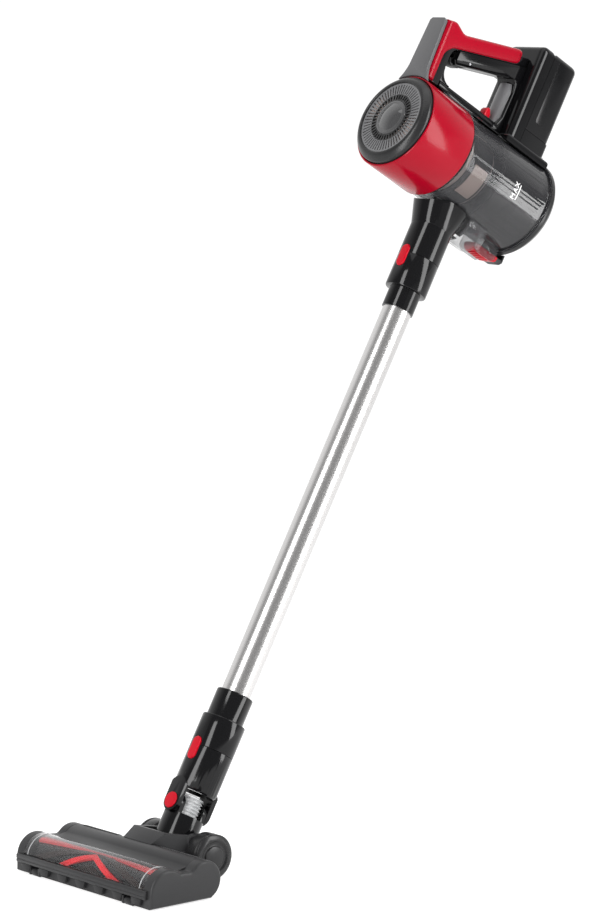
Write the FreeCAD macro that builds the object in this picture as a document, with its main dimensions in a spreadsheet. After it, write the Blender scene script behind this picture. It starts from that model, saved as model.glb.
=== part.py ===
import FreeCAD, Part
import math
import os
from collections import namedtuple

import Sketcher

# A cordless stick vacuum: motor unit with dust cup, handle and battery, a straight aluminium wand,
# a tilting neck and a powered floor head.  Lengths are millimetres and angles degrees.
#
# Three frames are used, all with +X to the user's left-hand side seen from the front:
#   HEAD  y back from the rear wheels' axle, z up from the floor
#   NECK  y back from the wand's axis, z along the wand from the level of the axle
#   UNIT  the same directions as NECK, origin where the barrel's axis crosses the wand's axis

Vector = FreeCAD.Vector

DIMENSIONS = {
    # stance
    "lean": 30, "neck_offset": 16.8, "unit_level": 869,
    # barrel of the motor unit, and its round filter cap at the front
    "barrel_r": 59.4, "barrel_wall": 2.6, "barrel_front": 114, "barrel_rear": 41,
    "cap_front": 124, "cap_bevel": 6.2, "cap_inner_r": 45.4, "cap_seat": 104,
    "grille_front": 122.4, "grille_thick": 2.6, "hub_r": 22.4, "hub_bulge": 5.4,
    "outer_slots": 60, "inner_slots": 40, "filter_depth": 13,
    # grey front cover that rises above the cap
    "pillar_top": 137.2, "pillar_half": 13.2, "pillar_foot": 24.5, "cover_thick": 4.6, "cover_front": 115.8,
    # handle: pillar, sloping grip and finger loop, seen from the side
    "grip_half": 17, "grip_slope": 0.3407, "grip_level": 161.1, "grip_height": 39, "red_height": 20,
    "shell_wall": 2.4, "pillar_back": 97.6, "loop_front": 87.4, "loop_rear": 14.5, "grip_end": 26.8,
    "crest_back": 102.4, "crest_rise": 3.9,
    # rail on top of the barrel, and the rear column under the grip
    "rail_low": 50, "rail_high": 69.6, "rail_half": 15, "rail_skirt": 28,
    "column_half": 14,
    # battery pack and the dock that holds it
    "pack_half": 32, "dock_front": 27.2, "pack_front": 47.4, "pack_rear": 92, "pack_base": 78.4,
    "pack_top": 181, "dock_floor": 60, "dock_wall": 2.5, "flange_half": 36, "flange_rear": 98.4,
    "flange_low": 50.2, "cell_r": 9, "cell_length": 65, "cell_gap": 0.6,
    "jack_r": 2.75, "jack_body_r": 4.6, "jack_depth": 9, "jack_level": 104,
    # trigger
    "trigger_half": 6, "trigger_pin_r": 1.5, "trigger_pin_back": 56, "trigger_pin_up": 108,
    # motor
    "motor_r": 21, "motor_wall": 1.4, "motor_front": 92, "motor_rear": 48, "shaft_r": 2.5,
    "bearing_r": 7, "bearing_width": 5, "rotor_r": 12, "impeller_r": 24, "blade_count": 9,
    # suction neck below the barrel
    "sleeve_r": 25.2, "seam_high": 744, "flare_low": 785, "flare_x": 31, "flare_back": 40,
    "socket_r": 17.8, "port_level": 56, "port_r": 24, "port_reach": 33,
    # wand
    "tube_r": 17.5, "tube_wall": 1.2, "spigot": 42, "upper_step": 703, "upper_end": 678,
    "upper_collar_r": 19.2, "lower_end": 185, "lower_step": 152, "lower_collar_r": 22,
    "lower_sleeve_r": 26, "seam_low": 113, "duct_r": 14,
    # oval release buttons
    "button_half": 6.6, "button_length": 28, "button_above": 9.5, "button_proud": 1.1, "button_thick": 4.8,
    "button_travel": 2.5, "fit_gap": 0.35,
    # tilting neck
    "sleeve_low": 62, "tilt_level": 43, "ear_r": 12, "ear_inner": 21, "ear_outer": 27,
    "elbow_r": 23.5, "elbow_top": 33, "elbow_ear": 15, "tilt_pin_r": 4, "cap_r": 9.6, "cap_thick": 1.6,
    "hose_r": 14.5, "hose_bore": 11.5, "hose_top": 58, "drum_r": 19, "drum_half": 24.4,
    # dust cup and its door
    "cup_front": 38, "cup_front_r": 57.2, "cup_rear_r": 59.2, "cup_wall": 2.2, "cup_lip": 99.3,
    "cup_lip_r": 62.4, "door_r": 62.9, "door_front": 101.3, "door_rear": 112, "door_wall": 2.4,
    "hinge_back": 103.6, "hinge_up": 66.6, "hinge_pin_r": 1.5, "hinge_knuckle_r": 2.4,
    "hinge_lug_in": 8, "hinge_lug_out": 14, "prefilter_r": 42, "prefilter_rear": 16,
    "screen_r": 37, "screen_rear": 54, "skirt_r": 44, "cone_rear": 94, "cone_end_r": 18,
    "latch_half": 11, "latch_pivot_back": 84, "latch_pivot_down": 69.5,
    # floor head
    "head_half": 125, "cap_inner_x": 111, "dome_back": 118, "dome_up": 17, "dome_r": 25.5,
    "bulge_back": 67, "bulge_up": 22.5, "bulge_r": 22.5, "sole_up": 1.5, "sole_thick": 2.5,
    "head_wall": 2.4, "bumper_front": 147.8, "bumper_low": 12, "bumper_high": 22, "bumper_half": 118.6,
    "brush_up": 19.6, "brush_r": 19, "brush_core_r": 15.5, "brush_bore": 12.5, "brush_half": 107,
    "window_start": 100, "bristle_count": 4,
    "wheel_r": 26, "wheel_in": 36, "wheel_out": 58, "axle_r": 3, "running_gap": 0.06,
    "roller_r": 5, "roller_back": 141.5, "roller_x": 86, "roller_half": 6, "roller_pin_r": 1.5,
    "bridge_half": 35.4, "hump_up": 56, "hump_front": 47.5, "tooth_count": 7,
}

document = FreeCAD.newDocument("StickVacuum")
sheet = document.addObject("Spreadsheet::Sheet", "Dimensions")
for row, (alias, amount) in enumerate(DIMENSIONS.items(), start=1):
    sheet.set(f"A{row}", alias.replace("_", " "))
    sheet.set(f"B{row}", str(amount))
    sheet.setAlias(f"B{row}", alias)
document.recompute()


class Size:
    """A number worked out from the sheet: its value now and the expression that follows the sheet."""

    def __init__(self, text, value):
        self.text = text
        self.value = value

    @staticmethod
    def of(number):
        return number if isinstance(number, Size) else Size(f"({float(number):.6f})", float(number))

    def __add__(self, other):
        other = Size.of(other)
        return Size(f"({self.text} + {other.text})", self.value + other.value)

    def __sub__(self, other):
        other = Size.of(other)
        return Size(f"({self.text} - {other.text})", self.value - other.value)

    def __mul__(self, other):
        other = Size.of(other)
        return Size(f"({self.text} * {other.text})", self.value * other.value)

    def __truediv__(self, other):
        other = Size.of(other)
        return Size(f"({self.text} / {other.text})", self.value / other.value)

    def __radd__(self, other):
        return Size.of(other) + self

    def __rsub__(self, other):
        return Size.of(other) - self

    def __rmul__(self, other):
        return Size.of(other) * self

    def __neg__(self):
        return Size(f"(0 - {self.text})", -self.value)


class Cells:
    """Reads a driving dimension of the sheet by its alias."""

    def __getattr__(self, alias):
        return Size(f"{sheet.Name}.{alias}", float(DIMENSIONS[alias]))


D = Cells()
Circle = namedtuple("Circle", "across up radius")
PARTS = []

# ---------------------------------------------------------------- modelling helpers


def value(number):
    """The plain number behind a size."""
    return number.value if isinstance(number, Size) else float(number)


def root_of(size):
    """Square root that still follows the sheet."""
    return Size(f"sqrt({size.text})", math.sqrt(size.value))


def on_circle(back, up, radius, degrees):
    """A point on a circle, as two sizes; the angle counts up from +Y towards +Z."""
    angle = math.radians(degrees)
    return (back + radius * math.cos(angle), up + radius * math.sin(angle))


def bind(thing, prop, number):
    """Set a property, and tie it to the sheet where the number comes from there."""
    if isinstance(number, Size):
        thing.setExpression(prop, number.text)
    else:
        setattr(thing, prop, number)


def new_part(label, frame, at=(0, 0, 0), turned=None):
    """An empty body, one separate piece of the machine."""
    owner = document.addObject("PartDesign::Body", label)
    owner.Label = label
    owner.AllowCompound = True
    spot = Vector(*[value(number) for number in at])
    owner.Placement = frame.multiply(FreeCAD.Placement(spot, turned or FreeCAD.Rotation()))
    PARTS.append(owner)
    return owner


def pin_point(drawing, geometry, end, corner):
    """Hold one end of a line by its two distances from the sketch's origin."""
    for kind, number in zip(("DistanceX", "DistanceY"), corner):
        index = drawing.addConstraint(Sketcher.Constraint(kind, -1, 1, geometry, end, value(number)))
        if isinstance(number, Size):
            drawing.setExpression(f"Constraints[{index}]", number.text)


def draw_circle(drawing, circle):
    """A circle held by its centre and radius."""
    centre = Vector(value(circle.across), value(circle.up), 0)
    geometry = drawing.addGeometry(Part.Circle(centre, Vector(0, 0, 1), value(circle.radius)), False)
    pin_point(drawing, geometry, 3, (circle.across, circle.up))
    index = drawing.addConstraint(Sketcher.Constraint("Radius", geometry, value(circle.radius)))
    if isinstance(circle.radius, Size):
        drawing.setExpression(f"Constraints[{index}]", circle.radius.text)


def draw_arc(drawing, first, last, radius):
    """An arc under half a turn; a positive radius turns left on the way, a negative one turns right."""
    chord = last - first
    middle = (first + last) * 0.5
    reach = math.sqrt(max(value(radius) ** 2 - (chord.Length / 2) ** 2, 0))
    left = Vector(-chord.y, chord.x, 0).normalize()
    centre = middle + left * (reach if value(radius) > 0 else -reach)
    start, stop = (first, last) if value(radius) > 0 else (last, first)
    angles = [math.atan2(point.y - centre.y, point.x - centre.x) for point in (start, stop)]
    circle = Part.Circle(centre, Vector(0, 0, 1), abs(value(radius)))
    geometry = drawing.addGeometry(Part.ArcOfCircle(circle, angles[0], angles[1]), False)
    if reach < 1e-3:
        drawing.addConstraint(Sketcher.Constraint("Symmetric", geometry, 1, geometry, 2, geometry, 3))
    else:
        index = drawing.addConstraint(Sketcher.Constraint("Radius", geometry, abs(value(radius))))
        if isinstance(radius, Size):
            drawing.setExpression(f"Constraints[{index}]", f"abs({radius.text})")
    return (geometry, 1, 2) if value(radius) > 0 else (geometry, 2, 1)


def draw_outline(drawing, corners):
    """A closed outline; a corner's third number is the radius of the arc that leaves it."""
    spots = [Vector(value(corner[0]), value(corner[1]), 0) for corner in corners]
    sides = []
    for index, corner in enumerate(corners):
        first = spots[index]
        last = spots[(index + 1) % len(spots)]
        if len(corner) == 3:
            sides.append(draw_arc(drawing, first, last, corner[2]))
        else:
            sides.append((drawing.addGeometry(Part.LineSegment(first, last), False), 1, 2))
    for index, (geometry, start, stop) in enumerate(sides):
        following = sides[(index + 1) % len(sides)]
        drawing.addConstraint(Sketcher.Constraint("Coincident", geometry, stop, following[0], following[1]))
        pin_point(drawing, geometry, start, corners[index][:2])


def sketch(owner, plane, loops, level=0):
    """A sketch on one of the body's origin planes, moved along the plane's normal to its level."""
    drawing = owner.newObject("Sketcher::SketchObject", f"{owner.Label}_outline")
    side = [entry for entry in owner.Origin.OriginFeatures if entry.Role == f"{plane}_Plane"][0]
    drawing.AttachmentSupport = [(side, "")]
    drawing.MapMode = "FlatFace"
    if isinstance(level, Size):
        drawing.setExpression("AttachmentOffset.Base.z", level.text)
    elif level:
        drawing.AttachmentOffset = FreeCAD.Placement(Vector(0, 0, level), FreeCAD.Rotation())
    for loop in loops:
        if isinstance(loop, Circle):
            draw_circle(drawing, loop)
        else:
            draw_outline(drawing, loop)
    return drawing


def volume(owner):
    """The body's volume now."""
    document.recompute()
    return owner.Shape.Volume if owner.Tip else 0.0


def check_cut(owner, before, after):
    """Stop where a cut removed nothing."""
    if after >= before - 1e-3:
        raise RuntimeError(f"a cut in {owner.Label} removed nothing")


def slab(owner, plane, loops, low, high):
    """Add material between two levels along the plane's axis; both levels count in the body's own frame."""
    level = -high if plane == "XZ" else low
    drawing = sketch(owner, plane, loops, level)
    feature = owner.newObject("PartDesign::Pad", f"{owner.Label}_pad")
    feature.Profile = drawing
    bind(feature, "Length", high - low)
    return feature


def cut(owner, plane, loops, low, high):
    """Remove material between two levels along the plane's axis."""
    before = volume(owner)
    level = -low if plane == "XZ" else high
    drawing = sketch(owner, plane, loops, level)
    feature = owner.newObject("PartDesign::Pocket", f"{owner.Label}_pocket")
    feature.Profile = drawing
    bind(feature, "Length", high - low)
    check_cut(owner, before, volume(owner))
    return feature


def revolve(owner, plane, loops, axis):
    """Add material turned once round an axis of the sketch, H for its first and V for its second."""
    drawing = sketch(owner, plane, loops)
    feature = owner.newObject("PartDesign::Revolution", f"{owner.Label}_turn")
    feature.Profile = drawing
    feature.ReferenceAxis = (drawing, [f"{axis}_Axis"])
    feature.Angle = 360
    return feature


def groove(owner, plane, loops, axis):
    """Remove material turned once round an axis of the sketch."""
    before = volume(owner)
    drawing = sketch(owner, plane, loops)
    feature = owner.newObject("PartDesign::Groove", f"{owner.Label}_groove")
    feature.Profile = drawing
    feature.ReferenceAxis = (drawing, [f"{axis}_Axis"])
    feature.Angle = 360
    check_cut(owner, before, volume(owner))
    return feature


def repeat_around(owner, feature, axis, count):
    """Repeat one feature in equal steps round an axis of the body."""
    line = [entry for entry in owner.Origin.OriginFeatures if entry.Role == f"{axis}_Axis"][0]
    pattern = owner.newObject("PartDesign::PolarPattern", f"{owner.Label}_pattern")
    pattern.Originals = [feature]
    pattern.Axis = (line, [""])
    pattern.Angle = 360
    bind(pattern, "Occurrences", count)
    owner.Tip = pattern
    return pattern


def soften(owner, radius, chosen):
    """Round the edges that the test chooses by their bounding box and direction."""
    document.recompute()
    base = owner.Tip
    names = []
    for index, edge in enumerate(base.Shape.Edges, start=1):
        if chosen(edge):
            names.append(f"Edge{index}")
    if not names:
        raise RuntimeError(f"no edge to round on {owner.Label}")
    feature = owner.newObject("PartDesign::Fillet", f"{owner.Label}_fillet")
    feature.Base = (base, names)
    bind(feature, "Radius", radius)
    owner.Tip = feature
    return feature


def along(edge, axis):
    """Whether an edge is a straight line along X, Y or Z of its body."""
    if not isinstance(edge.Curve, Part.Line):
        return False
    return abs(getattr(edge.Curve.Direction, axis)) > 0.999


def rectangle(left, right, low, high):
    """Corners of a rectangle."""
    return [(left, low), (right, low), (right, high), (left, high)]


def stadium(centre, low, high, half):
    """An upright slot shape with round ends."""
    return [
        (centre - half, low + half, half),
        (centre + half, low + half),
        (centre + half, high - half, half),
        (centre - half, high - half),
    ]


def oval(half, front, back):
    """Two half circles joined by straight sides, seen from above."""
    return [(-half, front, half), (half, front), (half, back, half), (-half, back)]


# ---------------------------------------------------------------- frames

UPRIGHT = FreeCAD.Placement()
LEANING = FreeCAD.Placement(Vector(0, 0, D.wheel_r.value), FreeCAD.Rotation(Vector(1, 0, 0), -D.lean.value))
HEAD = UPRIGHT
NECK = LEANING.multiply(FreeCAD.Placement(Vector(0, -D.neck_offset.value, 0), FreeCAD.Rotation()))
UNIT = NECK.multiply(FreeCAD.Placement(Vector(0, 0, D.unit_level.value), FreeCAD.Rotation()))

# ---------------------------------------------------------------- motor unit


def build_barrel():
    """Red motor housing, the grey front cover above it, and the round filter cap in its mouth."""
    bore = D.barrel_r - D.barrel_wall
    housing = new_part("motor_housing", UNIT)
    revolve(housing, "YZ", [[
        (-D.barrel_front, bore), (-D.barrel_front, D.barrel_r), (-D.barrel_rear, D.barrel_r),
        (-D.barrel_rear, D.cap_inner_r), (-D.barrel_rear - 3, D.cap_inner_r), (-D.barrel_rear - 3, bore),
    ]], "H")

    cover = new_part("front_cover", UNIT)
    foot_up = root_of((D.barrel_r + 0.3) * (D.barrel_r + 0.3) - D.pillar_foot * D.pillar_foot)
    waist = D.pillar_half + 3
    slab(cover, "XZ", [[
        (-D.pillar_foot, foot_up, -(D.barrel_r + 0.3)), (D.pillar_foot, foot_up, -45),
        (waist, foot_up + 22), (D.pillar_half, D.pillar_top - 3), (D.pillar_half - 3, D.pillar_top),
        (3 - D.pillar_half, D.pillar_top), (-D.pillar_half, D.pillar_top - 3), (-waist, foot_up + 22, -45),
    ]], -D.cover_front, D.cover_thick - D.cover_front)

    ring = new_part("filter_ring", UNIT)
    outer = bore - 0.6
    revolve(ring, "YZ", [[
        (-D.cap_seat, D.cap_inner_r), (-D.cap_seat, outer), (-D.barrel_front - 2, outer),
        (-D.cap_front, outer - D.cap_bevel), (-D.cap_front, D.cap_inner_r),
    ]], "H")

    grille = new_part("vent_grille", UNIT)
    back = D.grille_thick - D.grille_front
    slab(grille, "XZ", [Circle(0, 0, D.cap_inner_r), Circle(0, 0, D.hub_r)], -D.grille_front, back)
    outer_slot = cut(grille, "XZ", [rectangle(-0.8, 0.8, D.hub_r + 9, D.cap_inner_r - 2.4)],
                     -D.grille_front - 1, back + 1)
    repeat_around(grille, outer_slot, "Y", D.outer_slots)
    inner_slot = cut(grille, "XZ", [rectangle(-1, 1, D.hub_r + 1.4, D.hub_r + 7)],
                     -D.grille_front - 1, back + 1)
    repeat_around(grille, inner_slot, "Y", D.inner_slots)

    dome = new_part("hub_dome", UNIT)
    dome_arc = (D.hub_r * D.hub_r + D.hub_bulge * D.hub_bulge) / (2 * D.hub_bulge)
    revolve(dome, "YZ", [[
        (back, 0), (back, D.hub_r - 0.1), (-D.grille_front, D.hub_r - 0.1, dome_arc),
        (-D.grille_front - D.hub_bulge, 2.5), (-D.grille_front - D.hub_bulge, 0),
    ]], "H")

    exhaust = new_part("exhaust_filter", UNIT)
    slab(exhaust, "XZ", [Circle(0, 0, D.cap_inner_r - 0.2), Circle(0, 0, D.hub_r - 4)],
         back + 0.4, back + 0.4 + D.filter_depth)


def grip_line(back, drop=0):
    """Height of the grip's top line at a distance back, less a drop."""
    return D.grip_level + D.grip_slope * back - drop


def handle_outline(inset, open_by):
    """Side outline of the red covers: outer edges drawn in by an inset, loop side moved out by open_by."""
    front = inset - D.cover_front + D.cover_thick + 0.4
    foot = D.barrel_r + 1.6 - open_by
    red = D.red_height + open_by
    end = D.loop_rear - 1 - inset
    inner = open_by - D.pillar_back
    return [
        (front, foot), (inner, foot), (inner, D.pillar_top - 38, -10),
        (inner + 9, grip_line(inner + 9, red)),
        (end, grip_line(end, red), (red - inset) * 0.62),
        (end, grip_line(end, inset)), (-81 + inset, grip_line(-81 + inset, inset), -26),
        (-D.crest_back + 4 - inset, D.pillar_top + D.crest_rise - inset), (front, D.pillar_top - inset),
    ]


def build_handle():
    """Two red covers over a black core, the grip's underside, the trigger and its switch."""
    for side, sign in (("left", 1), ("right", -1)):
        cover = new_part(f"handle_cover_{side}", UNIT)
        low, high = (Size.of(0.1), D.grip_half) if sign > 0 else (-D.grip_half, Size.of(-0.1))
        slab(cover, "YZ", [handle_outline(0, 0)], low, high)
        inside = (Size.of(-1), D.grip_half - D.shell_wall) if sign > 0 else (D.shell_wall - D.grip_half, Size.of(1))
        cut(cover, "YZ", [handle_outline(D.shell_wall, 2)], *inside)
        cut(cover, "YZ", [[
            (D.loop_rear - 5, grip_line(D.loop_rear - 5, 8.6)), (D.loop_rear - 5, grip_line(D.loop_rear - 5, 24)),
            (D.loop_rear + 6, grip_line(D.loop_rear + 6, 24)), (D.loop_rear + 6, grip_line(D.loop_rear + 6, 8.6)),
        ]], *inside)

    core = new_part("handle_core", UNIT)
    core_half = D.grip_half - D.shell_wall - 0.4
    foot = D.barrel_r + 1.2
    inset = D.shell_wall + 0.4
    front = inset - D.cover_front + D.cover_thick + 0.4
    under = D.red_height + 1.2
    slab(core, "YZ", [[
        (front, foot), (-D.loop_front, foot), (-D.loop_front, grip_line(-D.loop_front, under) - 9, -12),
        (9 - D.loop_front, grip_line(9 - D.loop_front, under)),
        (D.dock_front - 0.4, grip_line(D.dock_front, under)), (D.dock_front - 0.4, grip_line(D.dock_front, 9)),
        (D.loop_rear - 4, grip_line(D.loop_rear - 4, 9)), (D.loop_rear - 14, grip_line(D.loop_rear - 14, inset)), (-78, grip_line(-78, inset), -26),
        (-D.crest_back, D.pillar_top + D.crest_rise - inset - 1), (front, D.pillar_top - inset),
    ]], -core_half, core_half)

    grip = new_part("grip_underside", UNIT)
    top = D.red_height + 1.4
    nose = 10 - D.loop_front
    slab(grip, "YZ", [[
        (nose, grip_line(nose, top)), (nose, grip_line(nose, D.grip_height - 6)),
        (nose + 6, grip_line(nose + 6, D.grip_height)), (D.loop_rear, grip_line(D.loop_rear, D.grip_height)),
        (D.dock_front - 0.4, grip_line(D.dock_front, D.grip_height + 4)),
        (D.dock_front - 0.4, grip_line(D.dock_front, top)),
    ]], 1 - D.grip_half, D.grip_half - 1)
    low_edge = [grip_line(value(spot), D.grip_height - 3).value for spot in (nose, D.dock_front)]

    def bottom_edge(edge):
        box = edge.BoundBox
        outer = abs(abs(box.Center.x) - (D.grip_half.value - 1)) < 0.01
        return outer and edge.Length > 20 and box.ZMin < low_edge[0] and box.YMax > 0
    soften(grip, 8, bottom_edge)
    slot_half = D.trigger_half + 0.5
    cut(grip, "YZ", [rectangle(-90, -D.trigger_pin_back + 4, 80, 115.5)], -slot_half, slot_half)

    pin = new_part("trigger_pin", UNIT)
    pin_spot = Circle(-D.trigger_pin_back, D.trigger_pin_up, D.trigger_pin_r)
    cut(grip, "YZ", [pin_spot], 1 - D.grip_half - 1, D.grip_half)
    slab(pin, "YZ", [pin_spot], 2 - D.grip_half, D.grip_half - 2)

    trigger = new_part("trigger", UNIT)
    slab(trigger, "YZ", [[
        (-D.trigger_pin_back + 3, D.trigger_pin_up - 3), (-D.trigger_pin_back + 3, D.trigger_pin_up + 2.5),
        (-D.trigger_pin_back - 8, D.trigger_pin_up + 1), (-80, 103.5), (-80.5, 101, 8), (-73, 95.6),
        (-64, 97.6), (-60, 101),
    ]], -D.trigger_half, D.trigger_half)
    cut(trigger, "YZ", [Circle(-D.trigger_pin_back, D.trigger_pin_up, D.trigger_pin_r + D.running_gap)],
        -D.trigger_half - 1, D.trigger_half + 1)

    switch = new_part("trigger_switch", UNIT)
    slab(switch, "YZ", [rectangle(-76, -66, 110.4, 113.2)], -4, 4)


def build_rail_and_dock():
    """Black rail over the barrel, rear column, battery dock with its flange and socket, release tab."""
    rail = new_part("top_rail", UNIT)
    front = -D.pillar_back + 1
    shoulder = D.rail_low + 12.5
    slab(rail, "XZ", [[
        (-D.rail_skirt, D.rail_low), (D.rail_skirt, D.rail_low), (D.rail_skirt, D.rail_low + 4),
        (D.rail_half, shoulder), (-D.rail_half, shoulder), (-D.rail_skirt, D.rail_low + 4),
    ]], -D.loop_front + 0.4, D.loop_rear + 7.6)
    slab(rail, "XZ", [rectangle(-D.rail_half, D.rail_half, D.rail_low, D.rail_high)],
         -D.loop_front + 0.4, D.loop_rear + 4)
    groove(rail, "YZ", [rectangle(-130, 130, 0, D.barrel_r + 0.4)], "H")

    def top_side(edge):
        box = edge.BoundBox
        return along(edge, "y") and box.ZMin > D.rail_high.value - 0.1
    soften(rail, 5, top_side)

    column = new_part("rear_column", UNIT)
    slab(column, "XY", [[
        (-D.column_half, D.dock_front - 0.3), (-D.column_half, D.loop_rear + 10, D.column_half * 1.08),
        (D.column_half, D.loop_rear + 10), (D.column_half, D.dock_front - 0.3),
    ]], D.rail_high + 0.3, grip_line(D.loop_rear, D.grip_height + 4.2))

    dock = new_part("battery_dock", UNIT)
    slab(dock, "XY", [rectangle(-D.pack_half, D.pack_half, D.dock_front, D.pack_front - 0.4)],
         D.dock_floor, D.pack_top)

    def front_corner(edge):
        return along(edge, "z") and edge.BoundBox.YMax < D.dock_front.value + 0.1
    soften(dock, 9, front_corner)
    slab(dock, "XY", [rectangle(-D.pack_half, D.pack_half, D.pack_front - 0.5, D.pack_rear)],
         D.dock_floor, D.pack_base - 0.4)
    slab(dock, "XY", [rectangle(-D.flange_half, D.flange_half, D.loop_rear + 8, D.flange_rear)],
         D.flange_low, D.dock_floor)
    groove(dock, "YZ", [rectangle(0, 130, 0, D.barrel_r + 0.4)], "H")
    cut(dock, "XY", [rectangle(D.dock_wall - D.pack_half, D.pack_half - D.dock_wall,
                               D.dock_front + 6, D.pack_front + 1)],
        D.pack_base + 4, D.pack_top - 4)
    jack = Circle(D.dock_front + 12, D.jack_level, D.jack_body_r)
    cut(dock, "YZ", [jack], -D.pack_half - 1, D.dock_wall - D.pack_half + 1)

    socket = new_part("charging_socket", UNIT)
    slab(socket, "YZ", [jack], -D.pack_half, D.jack_depth + 3 - D.pack_half)
    cut(socket, "YZ", [Circle(jack.across, jack.up, D.jack_r)], -D.pack_half - 1, D.jack_depth - D.pack_half)

    board = new_part("control_board", UNIT)
    slab(board, "XZ", [rectangle(-24, 24, D.pack_base + 34, D.pack_top - 12)],
         D.dock_front + 12, D.dock_front + 13.6)
    slab(board, "XZ", [rectangle(-14, 14, D.pack_base + 44, D.pack_top - 30)],
         D.dock_front + 9, D.dock_front + 12)

    tab = new_part("bin_release_tab", UNIT)
    tab_low = D.rail_high + 0.35
    slab(tab, "YZ", [[
        (2, tab_low), (11.5, tab_low), (11.5, tab_low + 6), (8, tab_low + 12.5), (4.5, tab_low + 13), (2, tab_low + 9),
    ]], -5, 5)


def build_battery():
    """Battery case with six cells inside."""
    case = new_part("battery_case", UNIT)
    slab(case, "XY", [rectangle(-D.pack_half, D.pack_half, D.pack_front, D.pack_rear)], D.pack_base, D.pack_top)

    def rear_corner(edge):
        return along(edge, "z") and edge.BoundBox.YMin > D.pack_rear.value - 0.1
    soften(case, 6, rear_corner)
    cut(case, "XZ", [rectangle(2 - D.pack_half, D.pack_half - 2, D.pack_base + 2, D.pack_top - 2)],
        D.pack_front + 2, D.pack_rear - 2)

    cells = new_part("battery_cells", UNIT)
    pitch = 2 * D.cell_r + D.cell_gap
    middle = (D.pack_front + D.pack_rear) / 2
    spots = []
    for column in (-1, 0, 1):
        for rank in (-0.5, 0.5):
            spots.append(Circle(pitch * column, middle + pitch * rank, D.cell_r))
    slab(cells, "XY", spots, D.pack_base + 6, D.pack_base + 6 + D.cell_length)


def build_motor():
    """Motor can on its rubber mount, bearings, and the spinning shaft with its impeller."""
    can = new_part("motor_can", UNIT)
    inner = D.motor_r - D.motor_wall
    revolve(can, "YZ", [[
        (-D.motor_front, D.bearing_r), (-D.motor_front, D.motor_r), (-D.motor_rear, D.motor_r),
        (-D.motor_rear, D.bearing_r), (-D.motor_rear - 2, D.bearing_r), (-D.motor_rear - 2, inner),
        (2 - D.motor_front, inner), (2 - D.motor_front, D.bearing_r),
    ]], "H")

    mount = new_part("motor_mount", UNIT)
    reach = D.barrel_r - D.barrel_wall - 0.2
    for low in (6 - D.motor_front, -D.motor_rear - 12):
        slab(mount, "XZ", [Circle(0, 0, D.motor_r + 4), Circle(0, 0, D.motor_r)], low, low + 5)
    spoke = slab(mount, "XZ", [rectangle(-3, 3, D.motor_r + 3.8, reach)], 6 - D.motor_front, 11 - D.motor_front)
    repeat_around(mount, spoke, "Y", Size.of(3))

    bearings = new_part("motor_bearings", UNIT)
    for low in (-D.motor_front, -D.motor_rear - D.bearing_width):
        slab(bearings, "XZ", [Circle(0, 0, D.bearing_r), Circle(0, 0, D.shaft_r + D.running_gap)],
             low, low + D.bearing_width)

    shaft = new_part("rotor_shaft", UNIT)
    revolve(shaft, "YZ", [[
        (-D.motor_front + 1, 0), (-D.motor_front + 1, D.shaft_r), (-D.motor_front + 8, D.shaft_r),
        (-D.motor_front + 8, D.rotor_r), (-D.motor_rear - 9, D.rotor_r), (-D.motor_rear - 9, D.shaft_r),
        (-D.barrel_rear - 10, D.shaft_r), (-D.barrel_rear - 10, 0),
    ]], "H")

    impeller = new_part("impeller", UNIT)
    low = -D.motor_rear + 3
    slab(impeller, "XZ", [Circle(0, 0, D.impeller_r), Circle(0, 0, D.shaft_r)], low, low + 2)
    slab(impeller, "XZ", [Circle(0, 0, 7), Circle(0, 0, D.shaft_r)], low + 1.9, low + 10)
    blade = slab(impeller, "XZ", [[
        (6.5, -0.7), (15, -1.6), (23, -5.5), (23, -4), (15, 0), (6.5, 0.7),
    ]], low + 1.9, low + 9)
    repeat_around(impeller, blade, "Y", D.blade_count)


def button_recess(owner, sleeve_r, seam, above, low, high):
    """Round-ended recess for a release button in the front of a sleeve, clear of the button all round."""
    gap = D.fit_gap
    outline = stadium(0, seam + above - D.button_length - gap, seam + above + gap, D.button_half + gap)
    cut(owner, "XZ", [outline], low, high)


def build_suction_neck():
    """Black funnel that carries the wand's socket and turns the air back into the dust cup."""
    neck = new_part("suction_neck", UNIT)
    seam = D.seam_high - D.unit_level
    flare = D.flare_low - D.unit_level
    slab(neck, "XY", [Circle(0, 0, D.sleeve_r)], seam, flare)
    round_end = sketch(neck, "XY", [oval(D.sleeve_r, -0.3, 0.3)], flare)
    mouth = sketch(neck, "XY", [oval(D.flare_x, -8, D.flare_back - D.flare_x)], 14 - D.barrel_r)
    loft = neck.newObject("PartDesign::AdditiveLoft", "suction_neck_flare")
    loft.Profile = round_end
    loft.Sections = [mouth]
    slab(neck, "XZ", [Circle(0, -D.port_level, D.port_r)], -5, D.port_reach)
    groove(neck, "YZ", [rectangle(-140, 90, 0, D.barrel_r + 0.4)], "H")
    cut(neck, "XY", [Circle(0, 0, D.socket_r)], seam - 1, -D.port_level - 21)
    cut(neck, "XY", [rectangle(-D.duct_r, D.duct_r, -D.duct_r, D.port_reach + 1)],
        -D.port_level - 21.5, -D.barrel_r - 3)
    button_recess(neck, D.sleeve_r, seam, D.button_above, -D.sleeve_r - 3, D.button_thick - D.sleeve_r + 1.9)


# ---------------------------------------------------------------- dust cup


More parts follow.
